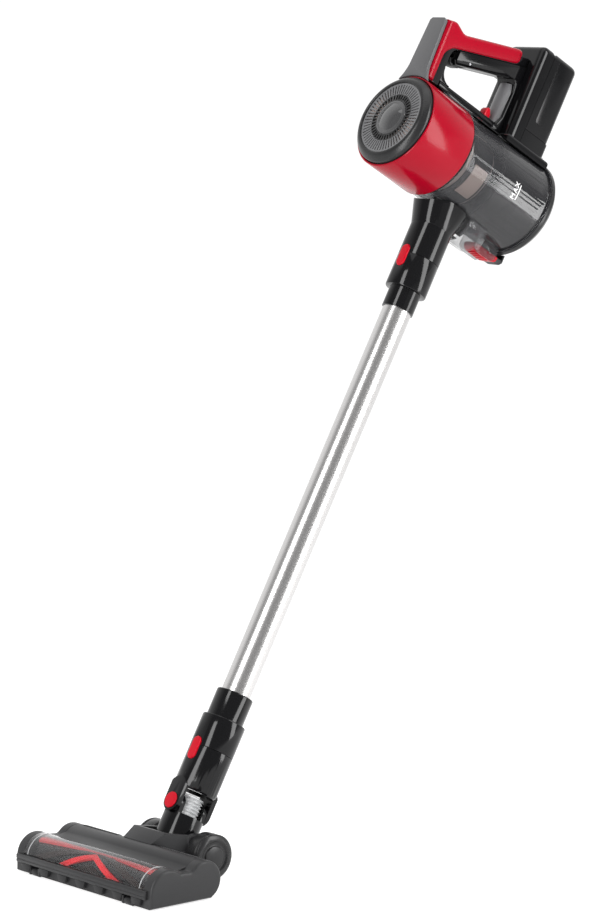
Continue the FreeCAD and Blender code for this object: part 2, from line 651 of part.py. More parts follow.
def build_dust_cup():
    """Clear cup with inlet port, cyclone and filter inside, a rear door on a hinge and its latch."""
    cup = new_part("cup_shell", UNIT)
    wall = D.cup_wall
    revolve(cup, "YZ", [[
        (-D.cup_front, D.cup_front_r - wall), (-D.cup_front, D.cup_front_r), (D.cup_lip, D.cup_rear_r),
        (D.cup_lip, D.cup_lip_r), (D.door_front - 0.3, D.cup_lip_r), (D.door_front - 0.3, D.cup_rear_r - wall),
    ]], "H")
    lug = [
        (D.cup_lip, D.cup_rear_r - 1), (D.door_front - 0.3, D.cup_rear_r - 1), (D.door_front - 0.3, D.door_r + 0.6),
        (D.hinge_back + 2.6, D.door_r + 0.6), (D.hinge_back + 2.6, D.hinge_up + 2.6), (D.cup_lip, D.hinge_up + 2.6),
    ]
    pin_spot = Circle(D.hinge_back, D.hinge_up, D.hinge_pin_r)
    for sign in (1, -1):
        edges = sorted((sign * D.hinge_lug_in, sign * D.hinge_lug_out), key=value)
        slab(cup, "YZ", [lug], *edges)
        cheek = sorted((sign * (D.latch_half + 0.5), sign * (D.latch_half + 2.7)), key=value)
        slab(cup, "YZ", [[
            (60, 2 - D.cup_rear_r), (60, -D.latch_pivot_down - 3), (66, -D.latch_pivot_down - 8),
            (92, -D.latch_pivot_down - 8), (98, -D.latch_pivot_down - 3), (98, 2 - D.cup_rear_r),
        ]], *cheek)
    cut(cup, "YZ", [pin_spot], -D.hinge_lug_out - 1, D.hinge_lug_out + 1)
    pivot = Circle(D.latch_pivot_back, -D.latch_pivot_down, D.hinge_pin_r + D.running_gap)
    cut(cup, "YZ", [pivot], -D.latch_half - 4, D.latch_half + 4)
    groove(cup, "YZ", [[
        (-D.cup_front - 1, 0), (-D.cup_front - 1, D.cup_front_r - wall),
        (D.cup_lip, D.cup_rear_r - wall), (D.door_rear, D.cup_rear_r - wall), (D.door_rear, 0),
    ]], "H")
    cut(cup, "XY", [rectangle(-D.duct_r, D.duct_r, 38, 56)], -D.cup_lip_r, -D.cup_front_r + 12)

    port = new_part("inlet_port", UNIT)
    outer = D.port_r + 2.6
    slab(port, "XZ", [Circle(0, -D.port_level, outer)], 28, 59.6)
    cut(port, "XZ", [Circle(0, -D.port_level, D.port_r + 0.4)], 27, 57.4)
    groove(port, "YZ", [rectangle(0, 90, 0, D.cup_rear_r + 0.6)], "H")

    hinge_pin = new_part("door_hinge_pin", UNIT)
    slab(hinge_pin, "YZ", [pin_spot], -D.hinge_lug_out, D.hinge_lug_out)

    seal = new_part("cup_seal", UNIT)
    slab(seal, "XZ", [Circle(0, 0, D.cup_front_r - wall - 0.3), Circle(0, 0, D.prefilter_r + 0.4)],
         0.4 - D.barrel_rear, 4 - D.barrel_rear)

    prefilter = new_part("pre_filter", UNIT)
    slab(prefilter, "XZ", [Circle(0, 0, D.prefilter_r), Circle(0, 0, D.prefilter_r - 14)],
         1 - D.cup_front, D.prefilter_rear)

    screen = new_part("mesh_screen", UNIT)
    low = D.prefilter_rear + 0.3
    revolve(screen, "YZ", [[
        (low, D.screen_r - 2), (low, D.screen_r + 4), (low + 3, D.screen_r + 4), (low + 3, D.screen_r),
        (D.screen_rear, D.screen_r), (D.screen_rear + 4, D.skirt_r), (D.screen_rear + 6, D.skirt_r),
        (D.screen_rear + 2, D.screen_r - 2),
    ]], "H")

    cone = new_part("cyclone_cone", UNIT)
    revolve(cone, "YZ", [[
        (D.screen_rear - 24, D.screen_r - 4.4), (D.screen_rear - 24, D.screen_r - 2.4),
        (D.screen_rear, D.screen_r - 2.4), (D.screen_rear + 8, D.screen_r - 4), (D.cone_rear, D.cone_end_r),
        (D.cone_rear, D.cone_end_r - 2), (D.screen_rear + 7, D.screen_r - 6.4), (D.screen_rear, D.screen_r - 4.4),
    ]], "H")

    door = new_part("cup_door", UNIT)
    inside = D.cup_rear_r - wall - 0.6
    revolve(door, "YZ", [[
        (D.door_front, inside - 3), (D.door_front, D.door_r), (D.door_rear - 5, D.door_r), (D.door_rear, D.door_r - 4),
        (D.door_rear, 0), (D.door_rear - D.door_wall, 0), (D.door_rear - D.door_wall, inside - 3),
    ]], "H")
    knuckle_half = D.hinge_lug_in - 0.4
    slab(door, "YZ", [[
        (D.hinge_back - D.hinge_knuckle_r, D.hinge_up, -D.hinge_knuckle_r),
        (D.hinge_back + D.hinge_knuckle_r, D.hinge_up), (D.hinge_back + D.hinge_knuckle_r, D.door_r - 3),
        (D.hinge_back - D.hinge_knuckle_r + 0.2, D.door_r - 3),
    ]], -knuckle_half, knuckle_half)
    cut(door, "YZ", [Circle(D.hinge_back, D.hinge_up, D.hinge_pin_r + D.running_gap)],
        -D.hinge_lug_in, D.hinge_lug_in)

    latch = new_part("door_latch", UNIT)
    pivot_up = -D.latch_pivot_down
    slab(latch, "YZ", [[
        (64, pivot_up + 3), (D.door_rear + 0.4, pivot_up + 3), (D.door_rear + 0.4, 4 - D.door_r),
        (D.door_rear + 3, 4 - D.door_r), (D.door_rear + 3, pivot_up), (98, pivot_up - 4, -60),
        (66, pivot_up - 4), (64, pivot_up - 2),
    ]], -D.latch_half + 1, D.latch_half - 1)
    slab(latch, "YZ", [Circle(D.latch_pivot_back, pivot_up, D.hinge_pin_r)],
         -D.latch_half - 2.7, D.latch_half + 2.7)


# ---------------------------------------------------------------- wand


def build_wand():
    """Aluminium tube between two black end fittings, with the upper release button."""
    tube = new_part("wand_tube", NECK)
    slab(tube, "XY", [Circle(0, 0, D.tube_r), Circle(0, 0, D.tube_r - D.tube_wall)],
         D.lower_step - 24, D.upper_step + 24)
    seat = D.tube_r + 0.05

    upper = new_part("upper_fitting", NECK)
    revolve(upper, "XZ", [[
        (seat, D.upper_end), (D.upper_collar_r, D.upper_end), (D.upper_collar_r, D.upper_step),
        (D.sleeve_r - 0.6, D.upper_step), (D.sleeve_r, D.upper_step + 1.2), (D.sleeve_r, D.seam_high - 0.4),
        (D.tube_r, D.seam_high - 0.4), (D.tube_r, D.seam_high + D.spigot - 4), (D.duct_r, D.seam_high + D.spigot - 4),
        (D.duct_r, D.upper_step + 24.2), (seat, D.upper_step + 24.2),
    ]], "V")
    button_recess(upper, D.sleeve_r, D.seam_high, D.button_above,
                  -D.sleeve_r - 3, D.button_thick - D.sleeve_r + 1.9)

    lower = new_part("lower_fitting", NECK)
    revolve(lower, "XZ", [[
        (seat, D.lower_end), (D.lower_collar_r - 1, D.lower_end), (D.lower_collar_r, D.lower_end - 1),
        (D.lower_collar_r, D.lower_step), (D.lower_sleeve_r - 0.6, D.lower_step),
        (D.lower_sleeve_r, D.lower_step - 1.2), (D.lower_sleeve_r, D.seam_low + 0.4),
        (D.tube_r, D.seam_low + 0.4), (D.tube_r, D.seam_low - D.spigot + 4), (D.duct_r, D.seam_low - D.spigot + 4),
        (D.duct_r, D.lower_step - 24.2), (seat, D.lower_step - 24.2),
    ]], "V")
    button_recess(lower, D.lower_sleeve_r, D.seam_low, D.button_above,
                  -D.lower_sleeve_r - 3, D.button_thick - D.lower_sleeve_r + 1.9)

    for label, seam, sleeve in (("wand_button", D.seam_high, D.sleeve_r), ("neck_button", D.seam_low, D.lower_sleeve_r)):
        button = new_part(label, NECK)
        face = -sleeve - D.button_proud
        top = seam + D.button_above
        slab(button, "XZ", [stadium(0, top - D.button_length, top, D.button_half)], face, face + D.button_thick)

        def front_rim(edge, face=face.value):
            return abs(edge.BoundBox.YMax - face) < 0.01
        soften(button, 1.6, front_rim)


# ---------------------------------------------------------------- tilting neck


def build_neck():
    """Sleeve with a fork, the elbow that tilts in it, the hinge pins, red cap and short hose."""
    sleeve = new_part("neck_sleeve", NECK)
    revolve(sleeve, "XZ", [[
        (D.socket_r, D.seam_low), (D.lower_sleeve_r, D.seam_low), (D.lower_sleeve_r, D.sleeve_low + 3),
        (D.lower_sleeve_r - 2, D.sleeve_low), (D.hose_r + 4.5, D.sleeve_low), (D.hose_r + 4.5, D.sleeve_low + 6),
        (D.socket_r, D.sleeve_low + 8),
    ]], "V")
    ear = [
        (-D.ear_r, D.tilt_level, D.ear_r), (D.ear_r, D.tilt_level), (D.ear_r, D.sleeve_low + 4, D.ear_r * 1.15),
        (-D.ear_r, D.sleeve_low + 4),
    ]
    pin_spot = Circle(0, D.tilt_level, D.tilt_pin_r)
    for sign in (1, -1):
        edges = sorted((sign * D.ear_inner, sign * D.ear_outer), key=value)
        slab(sleeve, "XZ", [ear], *edges)
    cut(sleeve, "XZ", [pin_spot], -D.ear_outer - 1, D.ear_outer + 1)
    button_recess(sleeve, D.lower_sleeve_r, D.seam_low, D.button_above,
                  -D.lower_sleeve_r - 3, D.button_thick - D.lower_sleeve_r + 1.9)

    cap = new_part("tilt_cap", NECK)
    slab(cap, "XZ", [Circle(0, D.tilt_level, D.cap_r)], -D.ear_outer - D.cap_thick, -D.ear_outer)

    def cap_rim(edge):
        return abs(edge.BoundBox.YMax + D.ear_outer.value + D.cap_thick.value) < 0.01
    soften(cap, 0.9, cap_rim)

    pins = new_part("tilt_pins", NECK)
    slab(pins, "XZ", [pin_spot], -D.ear_outer, -D.elbow_ear - 0.5)
    slab(pins, "XZ", [pin_spot], D.elbow_ear + 0.5, D.ear_outer)

    elbow = new_part("neck_elbow", NECK)
    back = D.neck_offset
    slab(elbow, "XY", [Circle(0, 0, D.elbow_r)], 2, D.elbow_top)
    slab(elbow, "YZ", [Circle(back, 0, D.drum_r)], -D.drum_half, D.drum_half)
    ear_tongue = [
        (-D.ear_r + 0.4, D.tilt_level, -(D.ear_r - 0.4)), (D.ear_r - 0.4, D.tilt_level),
        (D.ear_r - 0.4, D.elbow_top - 4), (0.4 - D.ear_r, D.elbow_top - 4),
    ]
    for sign in (1, -1):
        edges = sorted((sign * D.elbow_ear, sign * (D.ear_inner - 0.4)), key=value)
        slab(elbow, "XZ", [ear_tongue], *edges)
    cut(elbow, "XZ", [Circle(0, D.tilt_level, D.tilt_pin_r + D.running_gap)], -D.ear_inner - 4, D.ear_inner + 4)
    for sign in (1, -1):
        edges = sorted((sign * (D.ear_inner - 0.4), sign * 40), key=value)
        cut(elbow, "XZ", [rectangle(-30, 30, D.tilt_level - D.ear_r - 0.6, D.elbow_top + 1)], *edges)
    cut(elbow, "XY", [Circle(0, 0, D.hose_r - 4)], 6, D.elbow_top + 1)
    cut(elbow, "YZ", [Circle(back, 0, D.axle_r + D.running_gap)], -D.drum_half - 1, D.drum_half + 1)

    hose = new_part("flex_hose", NECK)
    ribs = 5
    pitch = (D.hose_top - D.elbow_top - 0.6) / ribs
    start = D.elbow_top + 0.3
    profile = [(D.hose_bore, start)]
    for index in range(ribs):
        profile.append((D.hose_r, start + pitch * (index + 0.1)))
        profile.append((D.hose_r, start + pitch * (index + 0.5)))
        profile.append((D.hose_r - 1.8, start + pitch * (index + 0.6)))
        profile.append((D.hose_r - 1.8, start + pitch * (index + 0.98)))
    profile.append((D.hose_bore, start + pitch * ribs))
    revolve(hose, "XZ", [profile], "V")


# ---------------------------------------------------------------- floor head


def head_profile(inset):
    """Side outline of the head: window dome, valley, rear bulge and flat sole."""
    dome = (-D.dome_back, D.dome_up, D.dome_r - inset)
    bulge = (-D.bulge_back, D.bulge_up, D.bulge_r - inset)
    return [
        (-D.dome_back - D.dome_r + inset, D.sole_up + inset), (*on_circle(*dome, 180), -dome[2]),
        (*on_circle(*dome, 90), -dome[2]), on_circle(*dome, 48), (*on_circle(*bulge, 135), -bulge[2]),
        (*on_circle(*bulge, 0), -bulge[2]), on_circle(*bulge, -50), (-D.bulge_back + 9, D.sole_up + inset),
    ]


def build_head_covers():
    """Two end caps, the rear cover, the clear window, the sole plate and the bumper."""
    for side, sign in (("left", 1), ("right", -1)):
        cap = new_part(f"end_cap_{side}", HEAD)
        edges = sorted((sign * D.cap_inner_x, sign * D.head_half), key=value)
        slab(cap, "YZ", [head_profile(0)], *edges)
        inner = sorted((sign * (D.cap_inner_x - 1), sign * (D.head_half - 4)), key=value)
        cut(cap, "YZ", [head_profile(3)], *inner)

    outer_dome = (-D.dome_back, D.dome_up, D.dome_r)
    inner_dome = (-D.dome_back, D.dome_up, D.dome_r - D.head_wall)
    outer_bulge = (-D.bulge_back, D.bulge_up, D.bulge_r)
    inner_bulge = (-D.bulge_back, D.bulge_up, D.bulge_r - D.head_wall)
    half = D.cap_inner_x - 0.2
    split = 76
    cover = new_part("head_cover", HEAD)
    slab(cover, "YZ", [[
        (*on_circle(*outer_dome, split), -outer_dome[2]), on_circle(*outer_dome, 48),
        (*on_circle(*outer_bulge, 135), -outer_bulge[2]), (*on_circle(*outer_bulge, 0), -outer_bulge[2]),
        on_circle(*outer_bulge, -40), (*on_circle(*inner_bulge, -40), inner_bulge[2]),
        (*on_circle(*inner_bulge, 0), inner_bulge[2]), on_circle(*inner_bulge, 135),
        (*on_circle(*inner_dome, 48), inner_dome[2]), on_circle(*inner_dome, split),
    ]], -half, half)

    window = new_part("brush_window", HEAD)
    low_angle = 168
    slab(window, "YZ", [[
        (*on_circle(*outer_dome, low_angle), -outer_dome[2]), on_circle(*outer_dome, split + 0.8),
        (*on_circle(*inner_dome, split + 0.8), inner_dome[2]), on_circle(*inner_dome, low_angle),
    ]], -half, half)

    sole = new_part("sole_plate", HEAD)
    front = -D.dome_back - D.dome_r
    top = D.sole_up + D.sole_thick
    slab(sole, "XY", [rectangle(-half, half, front, -D.bulge_back + 6)], D.sole_up, top)
    slab(sole, "XY", [rectangle(-half, half, front, front + D.head_wall)], top - 0.1, D.bumper_high - 0.2)
    mouth = D.brush_half + 1
    cut(sole, "XY", [rectangle(-mouth, mouth, front + D.head_wall + 0.1, -D.dome_back + D.brush_r + 2)],
        D.sole_up - 1, top + 0.1)
    slab(sole, "YZ", [[
        (-D.dome_back + D.brush_r + 3, top - 0.1), (-D.dome_back + D.brush_r + 5, top - 0.1),
        (-D.dome_back + D.brush_r + 5, D.dome_up + 15), (-D.dome_back + D.brush_r + 3, D.dome_up + 15),
    ]], -half, half)
    pitch = D.bumper_half * 2 / D.tooth_count
    for index in range(int(D.tooth_count.value)):
        middle = pitch * (index - (D.tooth_count.value - 1) / 2)
        slab(sole, "XZ", [[
            (middle - 9, D.bumper_low), (middle - 6, D.sole_up + 2.5), (middle + 6, D.sole_up + 2.5),
            (middle + 9, D.bumper_low),
        ]], -D.bumper_front + 1, front + 0.1)
    for sign in (1, -1):
        box = sorted((sign * (D.roller_x - D.roller_half - 4), sign * (D.roller_x + D.roller_half + 4)), key=value)
        slab(sole, "XY", [rectangle(box[0], box[1], -D.bumper_front + 1.5, -D.roller_back + 6)], D.sole_up, 10.5)
        gap = sorted((sign * (D.roller_x - D.roller_half - 0.5), sign * (D.roller_x + D.roller_half + 0.5)),
                     key=value)
        cut(sole, "XY", [rectangle(gap[0], gap[1], -D.bumper_front, -D.roller_back + 7)], D.sole_up - 1, 10.9)
    pin_spot = Circle(-D.roller_back, D.roller_r, D.roller_pin_r + D.running_gap)
    cut(sole, "YZ", [pin_spot], -half - 1, half + 1)

    bumper = new_part("bumper", HEAD)
    slab(bumper, "XY", [rectangle(-D.bumper_half, D.bumper_half, -D.bumper_front, front)],
         D.bumper_low + 0.1, D.bumper_high)

    def front_edge(edge):
        return along(edge, "x") and edge.BoundBox.YMax < 0.1 - D.bumper_front.value
    soften(bumper, 1.4, front_edge)


def build_bridge_and_wheels():
    """Hump behind the rear bulge with the two lugs that carry the axle, the axle, wheels and rollers."""
    bridge = new_part("rear_bridge", HEAD)
    clear_r = D.bulge_r + 0.3
    crest = (-D.bulge_back, D.bulge_up, clear_r)
    lug_r = D.wheel_r - 2.5
    slab(bridge, "YZ", [[
        (*on_circle(*crest, -20), clear_r), (*on_circle(*crest, 40), clear_r), on_circle(*crest, 88),
        (-D.hump_front, D.hump_up), (-12, D.wheel_r + lug_r - 1, -lug_r * 1.35), (lug_r, D.wheel_r, -lug_r),
        (0, D.wheel_r - lug_r), (-40, D.sole_up + 2),
    ]], -D.bridge_half, D.bridge_half)
    slot_half = D.drum_half + 0.5
    cut(bridge, "XY", [rectangle(-slot_half, slot_half, -42, 40)], -5, D.hump_up + 10)
    for sign in (1, -1):
        cut(bridge, "XY", [[
            (sign * 24, -D.bulge_back - 5), (sign * 60, -D.bulge_back - 5), (sign * 60, -14),
            (sign * (D.bridge_half.value - 1), -20),
        ]], D.bulge_up + 10, D.hump_up + 10)
    bore = Circle(0, D.wheel_r, D.axle_r)
    cut(bridge, "YZ", [bore], -D.bridge_half - 1, D.bridge_half + 1)
    axle = new_part("wheel_axle", HEAD)
    slab(axle, "YZ", [bore], 4 - D.wheel_out, D.wheel_out - 4)

    for side, sign in (("left", 1), ("right", -1)):
        wheel = new_part(f"rear_wheel_{side}", HEAD, at=(0, 0, D.wheel_r))
        inner = sign * D.wheel_in
        outer = sign * D.wheel_out
        hole = D.axle_r + D.running_gap
        revolve(wheel, "XY", [[
            (inner, hole), (inner, D.wheel_r - 1.5), (inner + sign * 1.5, D.wheel_r), (outer - sign * 6, D.wheel_r),
            (outer - sign * 5.5, D.wheel_r - 1), (outer - sign * 4.5, D.wheel_r - 1), (outer - sign * 4, D.wheel_r),
            (outer - sign * 1.5, D.wheel_r), (outer, D.wheel_r - 2), (outer, D.wheel_r - 7),
            (outer - sign * 2, D.wheel_r - 9), (outer - sign * 2, D.wheel_r - 13), (outer, D.wheel_r - 13.6),
            (outer, 0), (outer - sign * 3.6, 0), (outer - sign * 3.6, hole),
        ]], "H")

    rollers = new_part("front_rollers", HEAD, at=(0, -D.roller_back, D.roller_r))
    for sign in (1, -1):
        low, high = sorted((sign * (D.roller_x - D.roller_half), sign * (D.roller_x + D.roller_half)), key=value)
        slab(rollers, "YZ", [Circle(0, 0, D.roller_r)], low, high)
        slab(rollers, "YZ", [Circle(0, 0, D.roller_pin_r)], low - 3, high + 3)


def build_brush():
    """Brush roll with its bristle strips, turned by a motor that sits inside the hollow core."""
    spot = (0, -D.dome_back, D.brush_up)
    core = new_part("brush_core", HEAD, at=spot)
    slab(core, "YZ", [Circle(0, 0, D.brush_core_r), Circle(0, 0, D.brush_bore)], -D.brush_half, D.brush_half)

    bristles = new_part("brush_bristles", HEAD, at=spot)
    strip = slab(bristles, "YZ", [rectangle(D.brush_core_r + 0.4, D.brush_r, -1.8, 1.8)],
                 2 - D.brush_half, D.brush_half - 2)
    repeat_around(bristles, strip, "X", D.bristle_count)
    slab(bristles, "YZ", [Circle(0, 0, D.brush_core_r + 0.8), Circle(0, 0, D.brush_core_r)],
         2 - D.brush_half, D.brush_half - 2)

    motor = new_part("brush_motor", HEAD, at=spot)
    slab(motor, "YZ", [Circle(0, 0, D.brush_bore - 0.6)], -60, 20)
    slab(motor, "YZ", [Circle(0, 0, 4)], -D.cap_inner_x - 9, -59)
    slab(motor, "YZ", [Circle(0, 0, 3)], 19, 40)


def centre_on_footprint():
    """Move every part so that the origin lies under the middle of the machine, on the floor."""
    document.recompute()
    box = PARTS[0].Shape.BoundBox
    for owner in PARTS:
        box.add(owner.Shape.BoundBox)
    shift = FreeCAD.Placement(Vector(-box.Center.x, -box.Center.y, 0), FreeCAD.Rotation())
    for owner in PARTS:
        owner.Placement = shift.multiply(owner.Placement)
    document.recompute()
    print(f"axle at y = {-box.Center.y:.4f}, lowest {box.ZMin:.4f}, box {box.XLength:.2f} {box.YLength:.2f} {box.ZMax:.2f}")


def check_and_export():
    """Stop on any failed object, then write one file for each part."""
    for thing in document.Objects:
        if "Invalid" in thing.State or "Error" in thing.State:
            raise RuntimeError(f"{thing.Name} failed: {thing.State}")
    os.makedirs("parts", exist_ok=True)
    for owner in PARTS:
        if owner.Shape.isNull() or not owner.Shape.isValid() or not owner.Shape.Solids:
            raise RuntimeError(f"{owner.Label} has no valid shape")
    for owner in PARTS:
        owner.Shape.exportStep(f"parts/{owner.Label}.step")
        print(owner.Label, len(owner.Shape.Solids), round(owner.Shape.Volume))


build_barrel()
build_handle()
build_rail_and_dock()
build_battery()
build_motor()
build_suction_neck()
build_dust_cup()
build_wand()
build_neck()
build_head_covers()
build_bridge_and_wheels()
build_brush()
centre_on_footprint()
check_and_export()
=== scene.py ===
"""Looks of a cordless stick vacuum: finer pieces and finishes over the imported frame, with a plain stage."""
import math

import bpy
from bpy.props import FloatProperty, FloatVectorProperty, IntProperty, PointerProperty
from bpy.types import Operator, Panel, PropertyGroup
from mathutils import Matrix, Vector


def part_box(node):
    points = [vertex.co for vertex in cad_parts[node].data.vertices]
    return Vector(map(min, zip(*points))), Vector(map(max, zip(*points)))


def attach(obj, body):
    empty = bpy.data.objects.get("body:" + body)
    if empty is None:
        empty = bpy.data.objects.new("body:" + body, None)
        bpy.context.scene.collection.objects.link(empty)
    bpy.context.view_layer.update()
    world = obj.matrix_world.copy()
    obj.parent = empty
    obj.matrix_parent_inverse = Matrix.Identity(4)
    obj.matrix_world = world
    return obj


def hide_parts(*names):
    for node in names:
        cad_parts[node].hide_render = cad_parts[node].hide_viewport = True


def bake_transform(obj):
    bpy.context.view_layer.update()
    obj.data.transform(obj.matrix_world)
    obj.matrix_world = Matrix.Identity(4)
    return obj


bl_info = {
    "name": "Cordless Stick Vacuum",
    "version": (1, 0, 0),
    "blender": (4, 5, 0),
    "location": "View3D > Sidebar > Stick Vacuum",
    "description": "Builds the finished pieces and finishes of a cordless stick vacuum",
    "category": "Add Mesh",
}

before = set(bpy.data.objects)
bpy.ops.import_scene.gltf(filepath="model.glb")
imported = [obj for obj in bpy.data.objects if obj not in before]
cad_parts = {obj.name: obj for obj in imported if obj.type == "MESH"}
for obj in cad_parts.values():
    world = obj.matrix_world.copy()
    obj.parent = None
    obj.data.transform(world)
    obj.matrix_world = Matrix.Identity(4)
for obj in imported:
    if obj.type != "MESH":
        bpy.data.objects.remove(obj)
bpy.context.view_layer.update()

MM = 0.001
LEAN = math.radians(30)


def axle_place():
    """Middle of the rear axle, which every other place is measured from."""
    low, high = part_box("wheel_axle")
    return (low + high) / 2


AXLE = axle_place()
HEAD = Matrix.Translation((0, AXLE.y, 0)) @ Matrix.Scale(MM, 4)
NECK = (Matrix.Translation(AXLE) @ Matrix.Rotation(-LEAN, 4, "X") @ Matrix.Translation((0, -16.8 * MM, 0))
        @ Matrix.Scale(MM, 4))
UNIT = NECK @ Matrix.Translation((0, 0, 869))
BACKWARD = (UNIT.to_3x3() @ Vector((0, 1, 0))).normalized()

CUP_REACH = 60.2 * MM       # the cup's tinted wall ends here, and its clear latch cheeks begin
TEETH_REACH = 30.4 * MM     # the grille's black inner teeth end here
EDGE_BLUR = 0.8 * MM        # width over which one finish turns into the next
BRUSH_BACK = -118           # the roll's axis, back along the head in millimetres
BULGE = (-67, 22.5)         # middle of the head's rear bulge, back and up


# ---------------------------------------------------------------- settings


class BodySettings(PropertyGroup):
    """Sizes of the motor unit's finished pieces."""

    edge: FloatProperty(name="Edge Radius", description="Radius on the moulded edges", default=0.9 * MM,
                        min=0, soft_max=3 * MM, subtype="DISTANCE", unit="LENGTH")
    cover_edge: FloatProperty(name="Handle Radius", description="Radius along the sides of the red covers",
                              default=5.5 * MM, min=0, soft_max=8 * MM, subtype="DISTANCE", unit="LENGTH")
    pack_edge: FloatProperty(name="Battery Radius", description="Radius round the top of the battery and its dock",
                             default=8.0 * MM, min=0, soft_max=9 * MM, subtype="DISTANCE", unit="LENGTH")
    steps: IntProperty(name="Turning Steps", description="Flats round a turned piece",
                       default=128, min=24, max=256)
    mark_height: FloatProperty(name="Level Mark Height", description="Letter height of the cup's level mark",
                               default=6.6 * MM, min=1 * MM, soft_max=12 * MM, subtype="DISTANCE",
                               unit="LENGTH")


class HeadSettings(PropertyGroup):
    """Sizes of the floor head's finished pieces."""

    cap_edge: FloatProperty(name="End Cap Radius", description="Radius round the end caps' outer faces",
                            default=3.2 * MM, min=0, soft_max=6 * MM, subtype="DISTANCE", unit="LENGTH")
    tufts: IntProperty(name="Tufts", description="Tufts along half of one bristle strip",
                       default=52, min=12, max=90)
    hose_ribs: IntProperty(name="Hose Ribs", description="Ribs along the short hose",
                           default=6, min=4, max=16)


class ColourSettings(PropertyGroup):
    """Colours of the finishes."""

    red: FloatVectorProperty(name="Gloss Red", description="Deep red of the barrel and covers",
                             default=(0.27, 0.0004, 0.010), size=3, min=0, max=1, subtype="COLOR")
    button: FloatVectorProperty(name="Button Red", description="Bright red of the buttons",
                                default=(0.43, 0.001, 0.011), size=3, min=0, max=1, subtype="COLOR")
    black: FloatVectorProperty(name="Black", description="Gloss black of the neck and the handle",
                               default=(0.0035, 0.0035, 0.004), size=3, min=0, max=1, subtype="COLOR")
    grey: FloatVectorProperty(name="Head Grey", description="Satin grey of the floor head",
                              default=(0.024, 0.024, 0.025), size=3, min=0, max=1, subtype="COLOR")
    cover: FloatVectorProperty(name="Cover Grey", description="Satin grey of the front cover",
                               default=(0.085, 0.085, 0.088), size=3, min=0, max=1, subtype="COLOR")
    smoke: FloatVectorProperty(name="Cup Smoke", description="Tint of the dust cup",
                               default=(0.022, 0.022, 0.024), size=3, min=0, max=1, subtype="COLOR")


# ---------------------------------------------------------------- finishes


class Level:
    """A shader number inside an expression: each operator adds one Math node."""

    def __init__(self, paint, socket):
        self.paint = paint
        self.socket = socket

    def __add__(self, other):
        return self.paint.maths("ADD", self, other)

    def __radd__(self, other):
        return self.paint.maths("ADD", other, self)

    def __sub__(self, other):
        return self.paint.maths("SUBTRACT", self, other)

    def __rsub__(self, other):
        return self.paint.maths("SUBTRACT", other, self)

    def __mul__(self, other):
        return self.paint.maths("MULTIPLY", self, other)

    def __rmul__(self, other):
        return self.paint.maths("MULTIPLY", other, self)

    def __truediv__(self, other):
        return self.paint.maths("DIVIDE", self, other)

    def __gt__(self, other):
        return self.paint.maths("GREATER_THAN", self, other)

    def limited(self):
        """The same number held between 0 and 1."""
        return self.paint.maths("MAXIMUM", self.paint.maths("MINIMUM", self, 1.0), 0.0)


class Paint:
    """A material or a world under construction."""

    def __init__(self, name, owners=None, coordinates="Object"):
        self.owner = (bpy.data.materials if owners is None else owners).new(name)
        self.owner.use_nodes = True
        self.tree = self.owner.node_tree
        self.tree.nodes.clear()
        self.place = self.node("ShaderNodeTexCoord").outputs[coordinates]

    def node(self, kind, settings=None, inputs=None):
        """One node: its settings first, then the values or links of its sockets."""
        made = self.tree.nodes.new(kind)
        for name, setting in (settings or {}).items():
            setattr(made, name, setting)
        for name, given in (inputs or {}).items():
            given = given.socket if isinstance(given, Level) else given
            if isinstance(given, bpy.types.NodeSocket):
                self.tree.links.new(given, made.inputs[name])
            else:
                made.inputs[name].default_value = given
        return made

    def maths(self, operation, first, second):
        """A Math node on two numbers."""
        made = self.node("ShaderNodeMath", {"operation": operation}, {0: first, 1: second})
        return Level(self, made.outputs[0])

    def noise(self, scale, detail=2.0, stretch=None, turn=(0, 0, 0), rough=0.5):
        """Noise over the piece, from 0 to 1; stretch slows it along one axis of a turned frame."""
        place = self.place
        if stretch:
            place = self.node("ShaderNodeMapping", None,
                              {"Vector": place, "Rotation": turn, "Scale": stretch}).outputs[0]
        made = self.node("ShaderNodeTexNoise", None,
                         {"Vector": place, "Scale": scale, "Detail": detail, "Roughness": rough})
        return Level(self, made.outputs["Fac"])

    def along(self, direction):
        """Distance along a direction."""
        made = self.node("ShaderNodeVectorMath", {"operation": "DOT_PRODUCT"},
                         {0: self.place, 1: tuple(direction)})
        return Level(self, made.outputs["Value"])

    def off_axis(self):
        """Distance from the motor unit's long axis."""
        arm = self.node("ShaderNodeVectorMath", {"operation": "SUBTRACT"},
                        {0: self.place, 1: tuple(UNIT.translation)}).outputs[0]
        crossed = self.node("ShaderNodeVectorMath", {"operation": "CROSS_PRODUCT"},
                            {0: arm, 1: tuple(BACKWARD)}).outputs[0]
        made = self.node("ShaderNodeVectorMath", {"operation": "LENGTH"}, {0: crossed})
        return Level(self, made.outputs["Value"])

    def mixed(self, mask, first, second):
        """A colour between two, by a mask."""
        made = self.node("ShaderNodeMix", {"data_type": "RGBA"},
                         {0: mask, 6: self.colour(first), 7: self.colour(second)})
        return made.outputs[2]

    @staticmethod
    def colour(given):
        """A colour as a socket, or with its alpha."""
        return given if isinstance(given, bpy.types.NodeSocket) else (*given, 1.0)

    def bump(self, height, strength, distance):
        """A normal from a height."""
        made = self.node("ShaderNodeBump", None,
                         {"Height": height, "Strength": strength, "Distance": distance})
        return made.outputs[0]

    def done(self, inputs):
        """Close the material with one Principled shader."""
        shader = self.node("ShaderNodeBsdfPrincipled", None, inputs)
        self.node("ShaderNodeOutputMaterial", None, {"Surface": shader.outputs[0]})
        return self.owner


def shade(colour, factor):
    """The same colour, lighter or darker."""
    return tuple(min(1.0, channel * factor) for channel in colour)


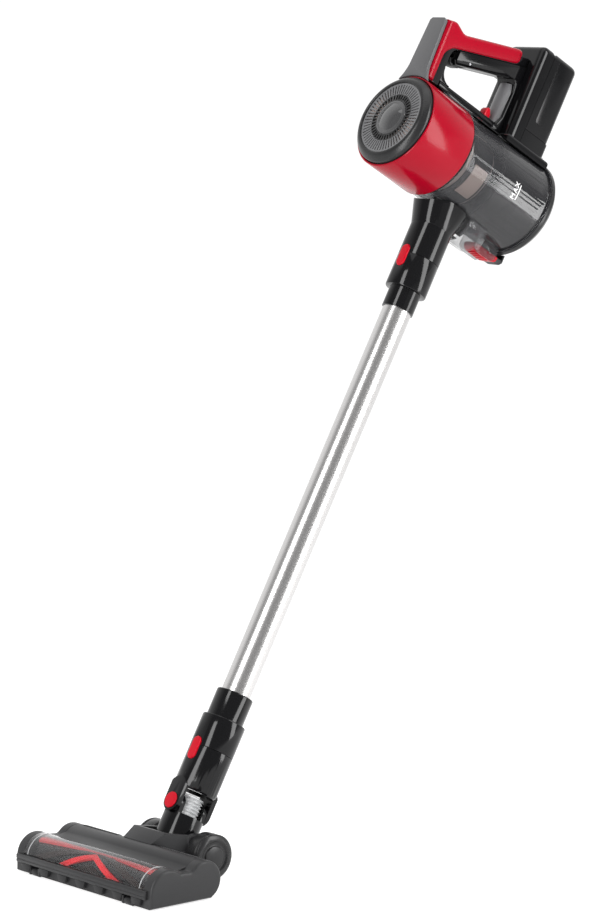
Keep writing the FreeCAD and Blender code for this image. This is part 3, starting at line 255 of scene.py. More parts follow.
def moulded(name, colour, roughness, grain=0.0, coat=0.0, wear=0.06, scale=900.0, shine=0.3):
    """Moulded plastic: slow colour change, handling marks in the gloss, and the tool's fine grain."""
    paint = Paint(name)
    cloudy = paint.noise(14.0, 3.0)
    marks = paint.noise(46.0, 5.0, stretch=(1, 1, 0.35))
    fine = paint.noise(scale, 2.0)
    inputs = {
        "Base Color": paint.mixed(cloudy, shade(colour, 0.86), shade(colour, 1.16)),
        "Roughness": (roughness + (marks - 0.5) * wear + (fine - 0.5) * wear * 0.5).limited(),
        "IOR": 1.5,
        "Specular IOR Level": shine,
        "Coat Weight": coat,
        "Coat Roughness": 0.04,
    }
    if grain:
        inputs["Normal"] = paint.bump(fine, grain, 0.0004)
    return paint.done(inputs)


def clear_plastic(name, tint, body, edge, roughness=0.05, fade=None, front=0.0, coat=0.0):
    """Clear moulding: denser where the wall is seen at a slant, and clearer ahead of a fade."""
    paint = Paint(name)
    slant = paint.node("ShaderNodeLayerWeight", None, {"Blend": 0.35 + 0.1 * coat})
    facing = Level(paint, slant.outputs["Facing"])
    marks = paint.noise(60.0, 4.0)
    density = body + (edge - body) * facing * facing
    colour = tint
    if fade:
        mask = ((paint.along(BACKWARD) - fade[0]) / (fade[1] - fade[0])).limited()
        mask = mask * (1 - ((paint.off_axis() - CUP_REACH) / EDGE_BLUR).limited())
        density = density * (front + (1 - front) * mask)
        colour = paint.mixed(mask, shade(tint, 2.0), tint)
    return paint.done({
        "Base Color": paint.mixed(marks, paint.mixed(0.1, colour, (0, 0, 0)), colour),
        "Roughness": (roughness + (marks - 0.5) * 0.03).limited(),
        "IOR": 1.5,
        "Specular IOR Level": 0.6 + 0.4 * coat,
        "Coat Weight": coat,
        "Alpha": density.limited(),
    })


def grille_finish(name, slats, teeth):
    """Light outer slats and black inner teeth."""
    paint = Paint(name)
    marks = paint.noise(60.0, 4.0)
    inner = 1 - ((paint.off_axis() - TEETH_REACH) / EDGE_BLUR).limited()
    return paint.done({
        "Base Color": paint.mixed(inner, slats, teeth),
        "Roughness": (0.25 + (marks - 0.5) * 0.1).limited(),
        "Specular IOR Level": 0.5,
    })


def brushed(name, colour, roughness, turn=(0, 0, 0)):
    """Drawn aluminium: long fine lines down the tube under a clear anodised skin."""
    paint = Paint(name)
    lengthwise = paint.noise(1100.0, 3.0, stretch=(1, 1, 0.004), turn=turn)
    clouds = paint.noise(7.0, 3.0)
    return paint.done({
        "Base Color": paint.mixed(lengthwise, shade(colour, 0.93), shade(colour, 1.05)),
        "Metallic": 1.0,
        "Roughness": (roughness + (lengthwise - 0.5) * 0.14 + (clouds - 0.5) * 0.05).limited(),
        "Normal": paint.bump(lengthwise, 0.05, 0.0002),
    })


def steel(name, colour, roughness):
    """Turned or drawn steel with fine marks."""
    paint = Paint(name)
    marks = paint.noise(420.0, 4.0)
    return paint.done({
        "Base Color": paint.mixed(marks, shade(colour, 0.88), shade(colour, 1.06)),
        "Metallic": 1.0,
        "Roughness": (roughness + (marks - 0.5) * 0.15).limited(),
        "Normal": paint.bump(marks, 0.08, 0.0002),
    })


def felt(name, colour):
    """Matted filter fibre with dust mottling and a fibre bump."""
    paint = Paint(name)
    fibre = paint.noise(700.0, 6.0, rough=0.7)
    dust = paint.noise(30.0, 4.0)
    return paint.done({
        "Base Color": paint.mixed(dust * 0.5 + fibre * 0.5, shade(colour, 0.72), shade(colour, 1.12)),
        "Roughness": 0.9 + (fibre - 0.5) * 0.1,
        "Sheen Weight": 0.3,
        "Normal": paint.bump(fibre, 0.5, 0.0008),
    })


def rubber(name, colour):
    """Soft matt rubber with bloom."""
    paint = Paint(name)
    bloom = paint.noise(40.0, 5.0)
    fine = paint.noise(1500.0, 2.0)
    return paint.done({
        "Base Color": paint.mixed(bloom, shade(colour, 0.8), shade(colour, 1.5)),
        "Roughness": (0.62 + (bloom - 0.5) * 0.2).limited(),
        "Normal": paint.bump(fine, 0.15, 0.0003),
    })


def pile(name, root, tip, relief):
    """Nylon tufts: strand-fine streaks and a worn, lighter tip colour."""
    paint = Paint(name)
    strands = paint.noise(2200.0, 3.0, stretch=(1, 0.2, 0.2))
    clumps = paint.noise(160.0, 3.0)
    return paint.done({
        "Base Color": paint.mixed((strands * 0.7 + clumps * 0.5 - 0.1).limited(), root, tip),
        "Roughness": 0.6 + (strands - 0.5) * 0.3,
        "Sheen Weight": 0.05,
        "Normal": paint.bump(strands, relief, 0.0006),
    })


def circuit_board(name):
    """Green board with a copper pattern under the mask."""
    paint = Paint(name)
    tracks = paint.noise(260.0, 0.0) > 0.56
    clouds = paint.noise(50.0, 2.0)
    return paint.done({
        "Base Color": paint.mixed(tracks, (0.01, 0.08, 0.03), (0.05, 0.20, 0.07)),
        "Roughness": 0.35 + (clouds - 0.5) * 0.1,
        "Normal": paint.bump(tracks, 0.3, 0.0002),
    })


FINISHES = {}


def make_finishes(colours):
    """Every finish, by a short name."""
    fade = tuple((UNIT @ Vector((0, back, 0))).dot(BACKWARD) for back in (12, 30))
    FINISHES.update({
        "red": moulded("Gloss deep red", tuple(colours.red), 0.16, wear=0.05, shine=0.16),
        "button": moulded("Satin bright red", tuple(colours.button), 0.24, grain=0.04, shine=0.16),
        "black": moulded("Gloss black", tuple(colours.black), 0.10, wear=0.04, shine=0.27),
        "satin": moulded("Satin black", shade(colours.black, 1.8), 0.42, grain=0.10),
        "grey": moulded("Satin head grey", tuple(colours.grey), 0.38, grain=0.07, wear=0.08, shine=0.22),
        "dark": moulded("Satin dark grey", shade(colours.grey, 0.55), 0.28, grain=0.04),
        "cover": moulded("Satin cover grey", tuple(colours.cover), 0.30, grain=0.05),
        # column: its own pillar grey, made 1.9 times lighter than the cover; the extra lightness is painted
        # reflection of the bright surroundings
        "column": moulded("Column grey with painted reflection", shade(colours.cover, 1.9), 0.30, grain=0.04),
        "blades": grille_finish("Grille grey", shade(colours.cover, 1.3), shade(colours.black, 1.0)),
        "hub": moulded("Polished hub grey", shade(colours.cover, 0.45), 0.06, wear=0.03, shine=0.9),
        "smoke": clear_plastic("Smoked cup", tuple(colours.smoke), 0.80, 0.97, fade=fade, front=0.42),
        "clear": clear_plastic("Clear moulding", (0.16, 0.16, 0.17), 0.10, 0.62),
        "window": clear_plastic("Clear brush window", (0.05, 0.05, 0.052), 0.0, 0.98, 0.03, coat=1.0),
        "hose": clear_plastic("Clear ribbed hose", (0.62, 0.63, 0.64), 0.42, 0.97, 0.08),
        "tube": brushed("Anodised wand", (0.62, 0.61, 0.605), 0.26, turn=(LEAN, 0, 0)),
        "machined": brushed("Machined aluminium", (0.70, 0.70, 0.72), 0.3),
        "steel": steel("Bright steel", (0.52, 0.52, 0.54), 0.28),
        "rubber": rubber("Black rubber", (0.010, 0.010, 0.011)),
        "felt": felt("Filter felt", (0.50, 0.40, 0.36)),
        "band": moulded("Beige band", (0.55, 0.42, 0.37), 0.42, grain=0.08),
        "bristle": pile("Red bristle", (0.50, 0.002, 0.008), (0.85, 0.010, 0.022), 0.5),
        "plush": pile("Dark plush", (0.008, 0.004, 0.003), (0.017, 0.007, 0.005), 0.08),
        "roll": moulded("Roll black", shade(colours.black, 1.6), 0.22, shine=0.5),
        "sleeve": moulded("Cell sleeve", (0.03, 0.12, 0.30), 0.25, coat=0.4),
        "board": circuit_board("Circuit board"),
        "mark": moulded("White level mark", (0.85, 0.85, 0.85), 0.4, grain=0.03),
    })


def finish_with(piece, finish):
    """Give a piece one finish."""
    piece.data.materials.clear()
    piece.data.materials.append(FINISHES[finish])


# ---------------------------------------------------------------- modelling helpers


def only(piece):
    """Select one object and make it the active one."""
    bpy.ops.object.select_all(action="DESELECT")
    piece.select_set(True)
    bpy.context.view_layer.objects.active = piece


def edit(piece, select="SELECT"):
    """Go into edit mode on one piece."""
    only(piece)
    bpy.ops.object.mode_set(mode="EDIT")
    bpy.ops.mesh.select_all(action=select)


def leave():
    """Back to object mode."""
    bpy.ops.object.mode_set(mode="OBJECT")


def choose(piece, kind, test):
    """In edit mode, select the vertices, edges or faces that pass a test."""
    bpy.ops.mesh.select_mode(type=kind)
    bpy.ops.mesh.select_all(action="DESELECT")
    leave()
    entries = {"VERT": piece.data.vertices, "EDGE": piece.data.edges, "FACE": piece.data.polygons}[kind]
    for entry in entries:
        entry.select = bool(test(entry))
    bpy.ops.object.mode_set(mode="EDIT")


def tidy_normals(piece):
    """Merge doubled points and turn every face outwards."""
    edit(piece)
    bpy.ops.mesh.remove_doubles(threshold=1e-6)
    bpy.ops.mesh.select_all(action="SELECT")
    bpy.ops.mesh.normals_make_consistent(inside=False)
    leave()


def smooth(piece, degrees=35):
    """Smooth shading that breaks at the sharp edges."""
    only(piece)
    bpy.ops.object.shade_smooth_by_angle(angle=math.radians(degrees))


def with_modifier(piece, kind, **settings):
    """Add one modifier, set it and apply it."""
    only(piece)
    modifier = piece.modifiers.new(kind.title(), kind)
    for name, setting in settings.items():
        setattr(modifier, name, setting)
    bpy.ops.object.modifier_apply(modifier=modifier.name)


def rounded_edges(piece, width, segments=3):
    """Round the sharp edges, then shade."""
    if width > 0:
        with_modifier(piece, "BEVEL", width=width, segments=segments, limit_method="ANGLE",
                      angle_limit=math.radians(38), use_clamp_overlap=True)
    smooth(piece)


def eased(node, width, segments):
    """A finished copy of a plain CAD piece: flats joined, sharp edges rounded."""
    piece = bpy.data.objects.new(f"{node}_finished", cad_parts[node].data.copy())
    bpy.context.scene.collection.objects.link(piece)
    edit(piece)
    bpy.ops.mesh.remove_doubles(threshold=2e-6)
    bpy.ops.mesh.select_all(action="SELECT")
    bpy.ops.mesh.dissolve_limited(angle_limit=math.radians(0.4))
    leave()
    rounded_edges(piece, width, segments)
    return piece


def outline_mesh(name, corners, filled):
    """A flat loop through the given points, from a circle primitive."""
    bpy.ops.object.select_all(action="DESELECT")
    bpy.ops.mesh.primitive_circle_add(vertices=len(corners), radius=1.0,
                                      fill_type="NGON" if filled else "NOTHING")
    piece = bpy.context.active_object
    piece.name = name
    piece.data.name = name
    for vertex, corner in zip(piece.data.vertices, corners):
        vertex.co = corner
    return piece


def prism(name, corners, step, place):
    """A solid drawn along a step from a flat outline, in the millimetres of a place."""
    piece = outline_mesh(name, corners, True)
    edit(piece)
    bpy.ops.mesh.extrude_region_move(TRANSFORM_OT_translate={"value": step})
    leave()
    tidy_normals(piece)
    piece.data.transform(place)
    return piece


def turned(name, outline, place, axis="Y", steps=None, centre=(0, 0, 0)):
    """A turned piece: a closed loop of (radius, along) points spun about an axis through a centre."""
    steps = steps or bpy.context.scene.vacuum_body.steps
    if axis == "Y":
        corners = [(radius, along, 0) for radius, along in outline]
        direction = (0, 1, 0)
    elif axis == "Z":
        corners = [(radius, 0, along) for radius, along in outline]
        direction = (0, 0, 1)
    else:
        corners = [(along, radius, 0) for radius, along in outline]
        direction = (1, 0, 0)
    piece = outline_mesh(name, corners, False)
    edit(piece)
    bpy.ops.mesh.spin(steps=steps, angle=math.tau, center=(0, 0, 0), axis=direction)
    bpy.ops.mesh.select_all(action="SELECT")
    bpy.ops.mesh.remove_doubles(threshold=1e-4)
    bpy.ops.mesh.select_all(action="SELECT")
    bpy.ops.mesh.normals_make_consistent(inside=False)
    leave()
    piece.data.transform(place @ Matrix.Translation(centre))
    smooth(piece, 28)
    return piece


def arc(centre, radius, start, stop, count):
    """Points on an arc, by angles in degrees."""
    spots = []
    for index in range(count + 1):
        angle = math.radians(start + (stop - start) * index / count)
        spots.append((centre[0] + radius * math.cos(angle), centre[1] + radius * math.sin(angle)))
    return spots


def filleted(corners, count=6):
    """A flat outline whose corners (x, y, radius) are rounded by tangent arcs."""
    spots = []
    for index, (across, up, radius) in enumerate(corners):
        here = Vector((across, up))
        before = Vector(corners[index - 1][:2]) - here
        after = Vector(corners[(index + 1) % len(corners)][:2]) - here
        if radius <= 0:
            spots.append((across, up))
            continue
        half = before.angle(after) / 2
        reach = min(radius / math.tan(half), before.length * 0.48, after.length * 0.48)
        start = here + before.normalized() * reach
        stop = here + after.normalized() * reach
        for step in range(count + 1):
            t = step / count
            spots.append(tuple(start * (1 - t) ** 2 + here * 2 * t * (1 - t) + stop * t ** 2))
    return spots


def joined(name, pieces):
    """Several pieces as one object."""
    bpy.ops.object.select_all(action="DESELECT")
    for piece in pieces:
        piece.select_set(True)
    bpy.context.view_layer.objects.active = pieces[0]
    bpy.ops.object.join()
    pieces[0].name = name
    pieces[0].data.name = name
    return pieces[0]


def copies(piece, places):
    """Copies of a piece, each with its own mesh moved by a matrix."""
    made = []
    for place in places:
        twin = bpy.data.objects.new(piece.name, piece.data.copy())
        twin.data.transform(place)
        bpy.context.scene.collection.objects.link(twin)
        made.append(twin)
    return made


def settle(piece, body, finish, slot, *nodes):
    """A finished piece: its finish, its body and the CAD pieces that it stands for; the slot argument is not used.
    """
    if finish:
        finish_with(piece, finish)
    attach(piece, body)
    if nodes:
        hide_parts(*nodes)
    return piece


def ease_all(body, entries):
    """Finished copies of several plain CAD pieces of one body."""
    for node, width, segments, finish, slot in entries:
        settle(eased(node, width, segments), body, finish, slot, node)


def around(count, axis="Y", offset=0.0):
    """Turns that share a full circle evenly."""
    return [Matrix.Rotation(offset + math.tau * index / count, 4, axis) for index in range(count)]


# ---------------------------------------------------------------- motor unit


class BarrelPieces(Operator):
    """Red barrel with rolled lips, the filter cap's ring, grille and hub, and the grey front cover"""

    bl_idname = "vacuum.barrel"
    bl_label = "Barrel and Filter Cap"

    def execute(self, context):
        barrel = turned("barrel_shell", [
            (56.9, -112.8), (57.1, -113.6), (57.8, -114), (58.6, -113.9), (59.15, -113.4), (59.4, -112.6),
            (59.4, -42.4), (59.0, -41.4), (58.2, -41.0), (45.6, -41), (45.6, -44), (56.8, -44),
        ], UNIT)
        settle(barrel, "main_unit", "red", "red_gloss", "motor_housing")

        ring = turned("filter_ring_finished", [
            (45.5, -104), (56.2, -104), (56.2, -115.6), (55.9, -117.4), (55.2, -118.6), (52.0, -121.8),
            (50.6, -123.0), (49.2, -123.7), (47.6, -124), (46.6, -124), (46.2, -123.7), (46.0, -123.0),
            (45.5, -122.8),
        ], UNIT)
        settle(ring, "filter_cap", "dark", "dark_grey", "filter_ring")

        hub = turned("hub_finished", [(0, -119.9), (22.2, -119.9), (22.2, -122.4), (21.9, -123.0)]
                     + [(19.4, -123.5), (18.9, -123.3), (18.4, -123.5)]
                     + [(radius, -122.4 - 5.4 * (1 - (radius / 19.6) ** 2))
                        for radius in (17.6, 15, 12, 9, 6, 3, 1)]
                     + [(0, -127.8)], UNIT)
        settle(hub, "filter_cap", "hub", "dark_grey", "hub_dome")
        ease_all("filter_cap", [("vent_grille", 0.25 * MM, 1, "blades", "dark_grey")])
        ease_all("main_unit", [("front_cover", 1.3 * MM, 3, "cover", "pillar_grey")])
        finish_with(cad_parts["exhaust_filter"], "felt")
        return {"FINISHED"}


def handle_side():
    """Side outline of the red covers, as (backward, up) corners with their radii."""
    def grip(back, drop=0):
        return 161.1 + 0.3407 * back - drop
    return filleted([
        (-110.8, 61, 0), (-97.6, 61, 0), (-97.6, 101, 16), (-88, grip(-88, 20.4), 10),
        (13.5, grip(13.5, 20), 9), (13.5, grip(13.5), 9), (-80, grip(-80), 16),
        (-98.0, 141.1, 10), (-110.8, 137.2, 0),
    ], 7)


class HandlePieces(Operator):
    """Red covers with rounded sides over the black core, the grip's underside and the trigger"""

    bl_idname = "vacuum.handle"
    bl_label = "Handle"

    def execute(self, context):
        body = context.scene.vacuum_body
        outline = handle_side()
        for side, sign in (("left", 1), ("right", -1)):
            cover = prism(f"handle_cover_{side}_finished", [(sign * 0.1, back, up) for back, up in outline],
                          (sign * 16.9, 0, 0), Matrix.Identity(4))
            edit(cover)
            choose(cover, "FACE", lambda face: abs(face.center.x) > 16.9)
            bpy.ops.mesh.select_mode(type="EDGE")
            bpy.ops.mesh.region_to_loop()
            bpy.ops.mesh.bevel(offset=body.cover_edge / MM, segments=7, profile=0.5, affect="EDGES",
                               clamp_overlap=False)
            leave()
            cover.data.transform(UNIT)
            tidy_normals(cover)
            smooth(cover, 30)
            settle(cover, "main_unit", "red", "red_gloss", f"handle_cover_{side}")
        ease_all("main_unit", [
            ("handle_core", 2.2 * MM, 4, "black", "black_satin"),
            ("grip_underside", 1.2 * MM, 3, "black", "black_gloss"),
        ])
        bend = [(-88.4, 68.6), (-88.4, 86.0)] + arc((-71.4, 85.6), 16, 180, 270, 12) + [(-71.0, 68.6)]
        corner = side_prism("loop_corner", bend, -14.0, 14.0, UNIT, 1.2 * MM)
        settle(corner, "main_unit", "black", "black_gloss")
        ease_all("trigger", [("trigger", 1.0 * MM, 3, "satin", "black_satin")])
        finish_with(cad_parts["trigger_pin"], "steel")
        finish_with(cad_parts["trigger_switch"], "satin")
        return {"FINISHED"}


def rounded_block(name, outline, low, high, top, bottom):
    """A block with a filleted plan between two heights of the unit, its top and bottom rims rounded."""
    block = prism(name, [(across, back, low) for across, back in outline], (0, 0, high - low),
                  Matrix.Identity(4))
    for level, width in ((high, top), (low, bottom)):
        if width > 0:
            edit(block)
            choose(block, "FACE", lambda face: abs(face.center.z - level) < 0.01)
            bpy.ops.mesh.select_mode(type="EDGE")
            bpy.ops.mesh.region_to_loop()
            bpy.ops.mesh.bevel(offset=width, segments=6, profile=0.5, affect="EDGES", clamp_overlap=False)
            leave()
    block.data.transform(UNIT)
    tidy_normals(block)
    smooth(block, 30)
    return block


def side_prism(name, outline, low, high, place, width):
    """A solid from a side outline (back, up), between two distances across, with rounded edges."""
    piece = prism(name, [(low, back, up) for back, up in outline], (high - low, 0, 0), place)
    rounded_edges(piece, width)
    return piece


class DockPieces(Operator):
    """Rail, column with its black web, dock and flange, release tab, charging socket and battery"""

    bl_idname = "vacuum.dock"
    bl_label = "Dock and Battery"

    def execute(self, context):
        body = context.scene.vacuum_body
        top_edge = body.pack_edge / MM
        ease_all("main_unit", [
            ("top_rail", body.edge, 3, "black", "black_gloss"),
            # the rear column takes the pillar grey lightened by painted reflection
            ("rear_column", 1.2 * MM, 3, "column", "pillar_grey"),
            ("charging_socket", 0.4 * MM, 2, "satin", "black_satin"),
        ])
        shell = rounded_block("battery_dock_shell", filleted([
            (-32, 47, 0), (-32, 27.2, 19), (32, 27.2, 19), (32, 47, 0)], 14), 60, 181, top_edge, 0)
        base = rounded_block("battery_dock_base", filleted([
            (-32, 46.5, 0), (32, 46.5, 0), (32, 92, 8), (-32, 92, 8)], 8), 59.8, 78, 0, 0)
        ring = [(33 - 6.6 * index, math.sqrt(59.8 ** 2 - (33 - 6.6 * index) ** 2)) for index in range(11)]
        flange = prism("battery_dock_flange", [(across, 22.6, up) for across, up in
                                               [(-36, 50.6), (-36, 60.2), (36, 60.2), (36, 50.6)] + ring],
                       (0, 75.6, 0), Matrix.Identity(4))
        edit(flange)
        choose(flange, "EDGE", lambda edge: all(
            abs(flange.data.vertices[index].co.x) > 35.9 and flange.data.vertices[index].co.z > 60
            for index in edge.vertices))
        bpy.ops.mesh.bevel(offset=4.0, segments=6, affect="EDGES")
        leave()
        flange.data.transform(UNIT)
        tidy_normals(flange)
        smooth(flange, 30)
        for piece in (shell, base, flange):
            settle(piece, "main_unit", "black", "black_gloss")
        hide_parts("battery_dock")

        web = side_prism("dock_web", filleted([
            (27.6, 61, 0), (27.6, 128, 0), (14, 129, 0), (19.4, 122, 6), (21.4, 112, 10), (20.6, 78, 8),
            (17, 68, 4), (12, 65, 0), (12, 61, 0),
        ], 6), -15.6, 15.6, UNIT, 1.6 * MM)
        settle(web, "main_unit", "black", "black_gloss")

        pack = rounded_block("battery_pack", filleted([
            (-32, 47.5, 0), (32, 47.5, 0), (32, 92, 12), (-32, 92, 12)], 12), 78.5, 181, top_edge, 0.6)
        settle(pack, "battery", "black", "black_gloss", "battery_case")
        panel = filleted([(57, 92, 5), (84, 92, 2), (84, 175, 2), (57, 175, 5)], 5)
        for side, low in (("left", 31.9), ("right", -32.25)):
            plate = side_prism(f"battery_panel_{side}", panel, low, low + 0.35, UNIT, 0.12 * MM)
            settle(plate, "battery", "black", "black_gloss")
        ease_all("bin_release", [("bin_release_tab", 1.0 * MM, 3, "button", "red_satin")])
        finish_with(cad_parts["battery_cells"], "sleeve")
        finish_with(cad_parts["control_board"], "board")
        return {"FINISHED"}


class MotorPieces(Operator):
    """Motor, bearings, rubber mount, shaft and impeller inside the barrel"""

    bl_idname = "vacuum.motor"
    bl_label = "Motor"

    def execute(self, context):
        for node, finish in (("motor_can", "steel"), ("motor_mount", "rubber"), ("motor_bearings", "steel"),
                             ("rotor_shaft", "steel"), ("impeller", "machined")):
            finish_with(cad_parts[node], finish)
        return {"FINISHED"}


def cup_radius(back):
    """Outer radius of the cup at a distance back along the unit."""
    return 57.2 + 2.0 * (back + 38) / 137.3


def level_mark(height):
    """The word MAX and its underline on the cup's side, lifted a little off the wall."""
    bpy.ops.object.select_all(action="DESELECT")
    bpy.ops.object.text_add(location=(0, 0, 0))
    text = bpy.context.active_object
    text.data.body = "MAX"
    text.data.align_x = "CENTER"
    text.data.size = height * 1.38 / MM
    text.data.space_character = 1.25
    text.data.extrude = 0.1
    only(text)
    bpy.ops.object.convert(target="MESH")
    text = bpy.context.active_object
    text.name = "level_mark"
    bar = prism("level_bar", [(-9.5, -3.2, -0.1), (9.5, -3.2, -0.1), (9.5, -2.2, -0.1), (-9.5, -2.2, -0.1)],
                (0, 0, 0.2), Matrix.Identity(4))
    edit(bar)
    bpy.ops.mesh.subdivide(number_cuts=6)
    leave()
    mark = joined("level_mark", [text, bar])
    with_modifier(mark, "TRIANGULATE")
    for vertex in mark.data.vertices:
        along, up, lift = vertex.co
        back = 50 - up
        height_up = along - 3.5
        vertex.co = (math.sqrt(cup_radius(back) ** 2 - height_up ** 2) + 0.30 + lift, back, height_up)
    mark.data.transform(UNIT)
    return mark


class CupPieces(Operator):
    """Clear dust cup with its rims, level mark, cyclone, screen and filter, the door and its latch"""

    bl_idname = "vacuum.cup"
    bl_label = "Dust Cup"

    def execute(self, context):
        ease_all("dust_cup", [
            ("cup_shell", 0.5 * MM, 2, "smoke", "smoke_clear"),
            ("inlet_port", 0.6 * MM, 2, "clear", "clear"),
            ("mesh_screen", 0.4 * MM, 2, "dark", "dark_grey"),
            ("cyclone_cone", 0.5 * MM, 2, "dark", "dark_grey"),
        ])
        for name, low, radius, finish, slot in (
                ("cup_front_rim", -36.8, 54.6, "dark", "dark_grey"),
                ("cup_seat_rim", -26, 54.8, "clear", "clear"),
                ("cup_shroud_rim", 22, 56.0, "dark", "dark_grey")):
            rim = turned(name, [(radius - 3.2, low), (radius - 0.5, low), (radius, low + 0.5),
                                (radius, low + 1.7), (radius - 0.5, low + 2.2), (radius - 3.2, low + 2.2)], UNIT)
            settle(rim, "dust_cup", finish, slot)
        band = turned("filter_band", [
            (42.1, -20), (43.0, -20), (43.4, -19.6), (43.4, 13.6), (43.0, 14), (42.1, 14)], UNIT)
        settle(band, "dust_cup", "dark", "dark_grey")
        for index, middle in enumerate((-28, 92, 212)):
            outline = [(x, -12, u) for x, u in arc((0, 0), 43.75, middle - 27, middle + 27, 20)
                       + arc((0, 0), 43.2, middle + 27, middle - 27, 20)]
            pleats = prism(f"filter_window_{index + 1}", outline, (0, 23, 0), UNIT)
            smooth(pleats, 30)
            settle(pleats, "dust_cup", "band", "filter_felt")
        settle(level_mark(context.scene.vacuum_body.mark_height), "dust_cup", "mark", "clear")
        ease_all("cup_door", [("cup_door", 1.4 * MM, 3, "dark", "dark_grey")])
        rib = filleted([(109, 18, 0), (112.0, 18, 0), (112.0, 54, 2), (109, 56, 0)], 4)
        ribs = [side_prism("door_rib", rib, -0.7, 0.7, Matrix.Identity(4), 0.3)]
        ribs += copies(ribs[0], around(10)[1:])
        fan = joined("door_ribs", ribs)
        fan.data.transform(UNIT)
        settle(fan, "cup_door", "dark", "dark_grey")
        pad = side_prism("latch_pad", filleted([
            (63, -66.4, 2), (63, -71.5, 3), (68, -75.6, 6), (92, -76.6, 10), (103.5, -73.6, 5),
            (105, -66.4, 2),
        ], 6), -10, 10, Matrix.Identity(4), 2.4)
        grips = [side_prism("latch_grip", filleted([
            (70 + 5 * index, -73, 0), (70.8 + 5 * index, -77.1, 0.8), (73 + 5 * index, -77.2, 0.8),
            (73.8 + 5 * index, -73, 0)], 3), -6.5, 6.5, Matrix.Identity(4), 0.4) for index in range(5)]
        pad = joined("latch_pad", [pad] + grips)
        pad.data.transform(UNIT)
        settle(pad, "door_latch", "button", "red_satin")
        hook = side_prism("latch_hook", filleted([
            (102, -67.0, 0), (112.6, -66.4, 0), (112.6, -59.4, 0.6), (114.8, -59.2, 1), (114.8, -69.0, 2),
            (111.0, -73.4, 3), (102, -73.8, 0)], 5), -9, 9, UNIT, 1.0 * MM)
        settle(hook, "door_latch", "satin", "red_satin", "door_latch")
        finish_with(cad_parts["door_hinge_pin"], "steel")
        finish_with(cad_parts["cup_seal"], "rubber")
        finish_with(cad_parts["pre_filter"], "felt")
        return {"FINISHED"}


# ---------------------------------------------------------------- wand and neck


class WandPieces(Operator):
    """Suction neck, aluminium wand, its two fittings and the oval release buttons"""

    bl_idname = "vacuum.wand"
    bl_label = "Wand"

    def execute(self, context):
        ease_all("main_unit", [("suction_neck", 0.8 * MM, 3, "black", "black_gloss")])
        ease_all("wand", [
            ("upper_fitting", 0.6 * MM, 2, "black", "black_gloss"),
            ("lower_fitting", 0.6 * MM, 2, "black", "black_gloss"),
        ])
        ease_all("wand_button", [("wand_button", 0.5 * MM, 2, "button", "red_satin")])
        ease_all("neck_button", [("neck_button", 0.5 * MM, 2, "button", "red_satin")])
        finish_with(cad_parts["wand_tube"], "tube")
        return {"FINISHED"}


class NeckPieces(Operator):
    """Forked sleeve, elbow, red pivot cap and the short ribbed hose"""

    bl_idname = "vacuum.neck"
    bl_label = "Tilting Neck"

    def execute(self, context):
        ease_all("neck_upper", [
            ("neck_sleeve", 0.8 * MM, 3, "black", "black_gloss"),
            ("tilt_cap", 0.4 * MM, 2, "button", "red_satin"),
        ])
        ease_all("neck_lower", [("neck_elbow", 0.8 * MM, 3, "black", "black_gloss")])
        finish_with(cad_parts["tilt_pins"], "steel")
        ribs = context.scene.vacuum_head.hose_ribs
        low, high = 33.4, 57.8
        pitch = (high - low) / ribs
        outline = [(11.4, low)]
        for index in range(ribs):
            start = low + index * pitch
            outline += [(12.6, start + 0.05 * pitch), (14.2, start + 0.25 * pitch),
                        (14.45, start + 0.45 * pitch), (14.2, start + 0.65 * pitch), (12.6, start + 0.9 * pitch)]
        hose = turned("ribbed_hose", outline + [(11.4, high)], NECK, axis="Z", steps=48)
        finish_with(hose, "hose")
        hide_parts("flex_hose")
        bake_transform(hose)
        return {"FINISHED"}


# ---------------------------------------------------------------- floor head


def head_outline():
    """Side outline of the head in its own frame: window dome, valley, rear bulge and flat sole."""
    dome = arc((BRUSH_BACK, 17), 25.5, 180, 48, 28)
    bulge = arc(BULGE, 22.5, 135, -50, 36)
    valley = filleted([(*dome[-1], 0), (-97, 36.4, 9), (-87, 35.4, 9), (*bulge[0], 0)], 5)
    return dome[:-1] + valley + bulge[1:] + [(-58, 1.5), (-143.5, 1.5)]


def on_bulge(reach, degrees):
    """A point round the rear bulge, back and up."""
    angle = math.radians(degrees)
    return BULGE[0] + reach * math.cos(angle), BULGE[1] + reach * math.sin(angle)


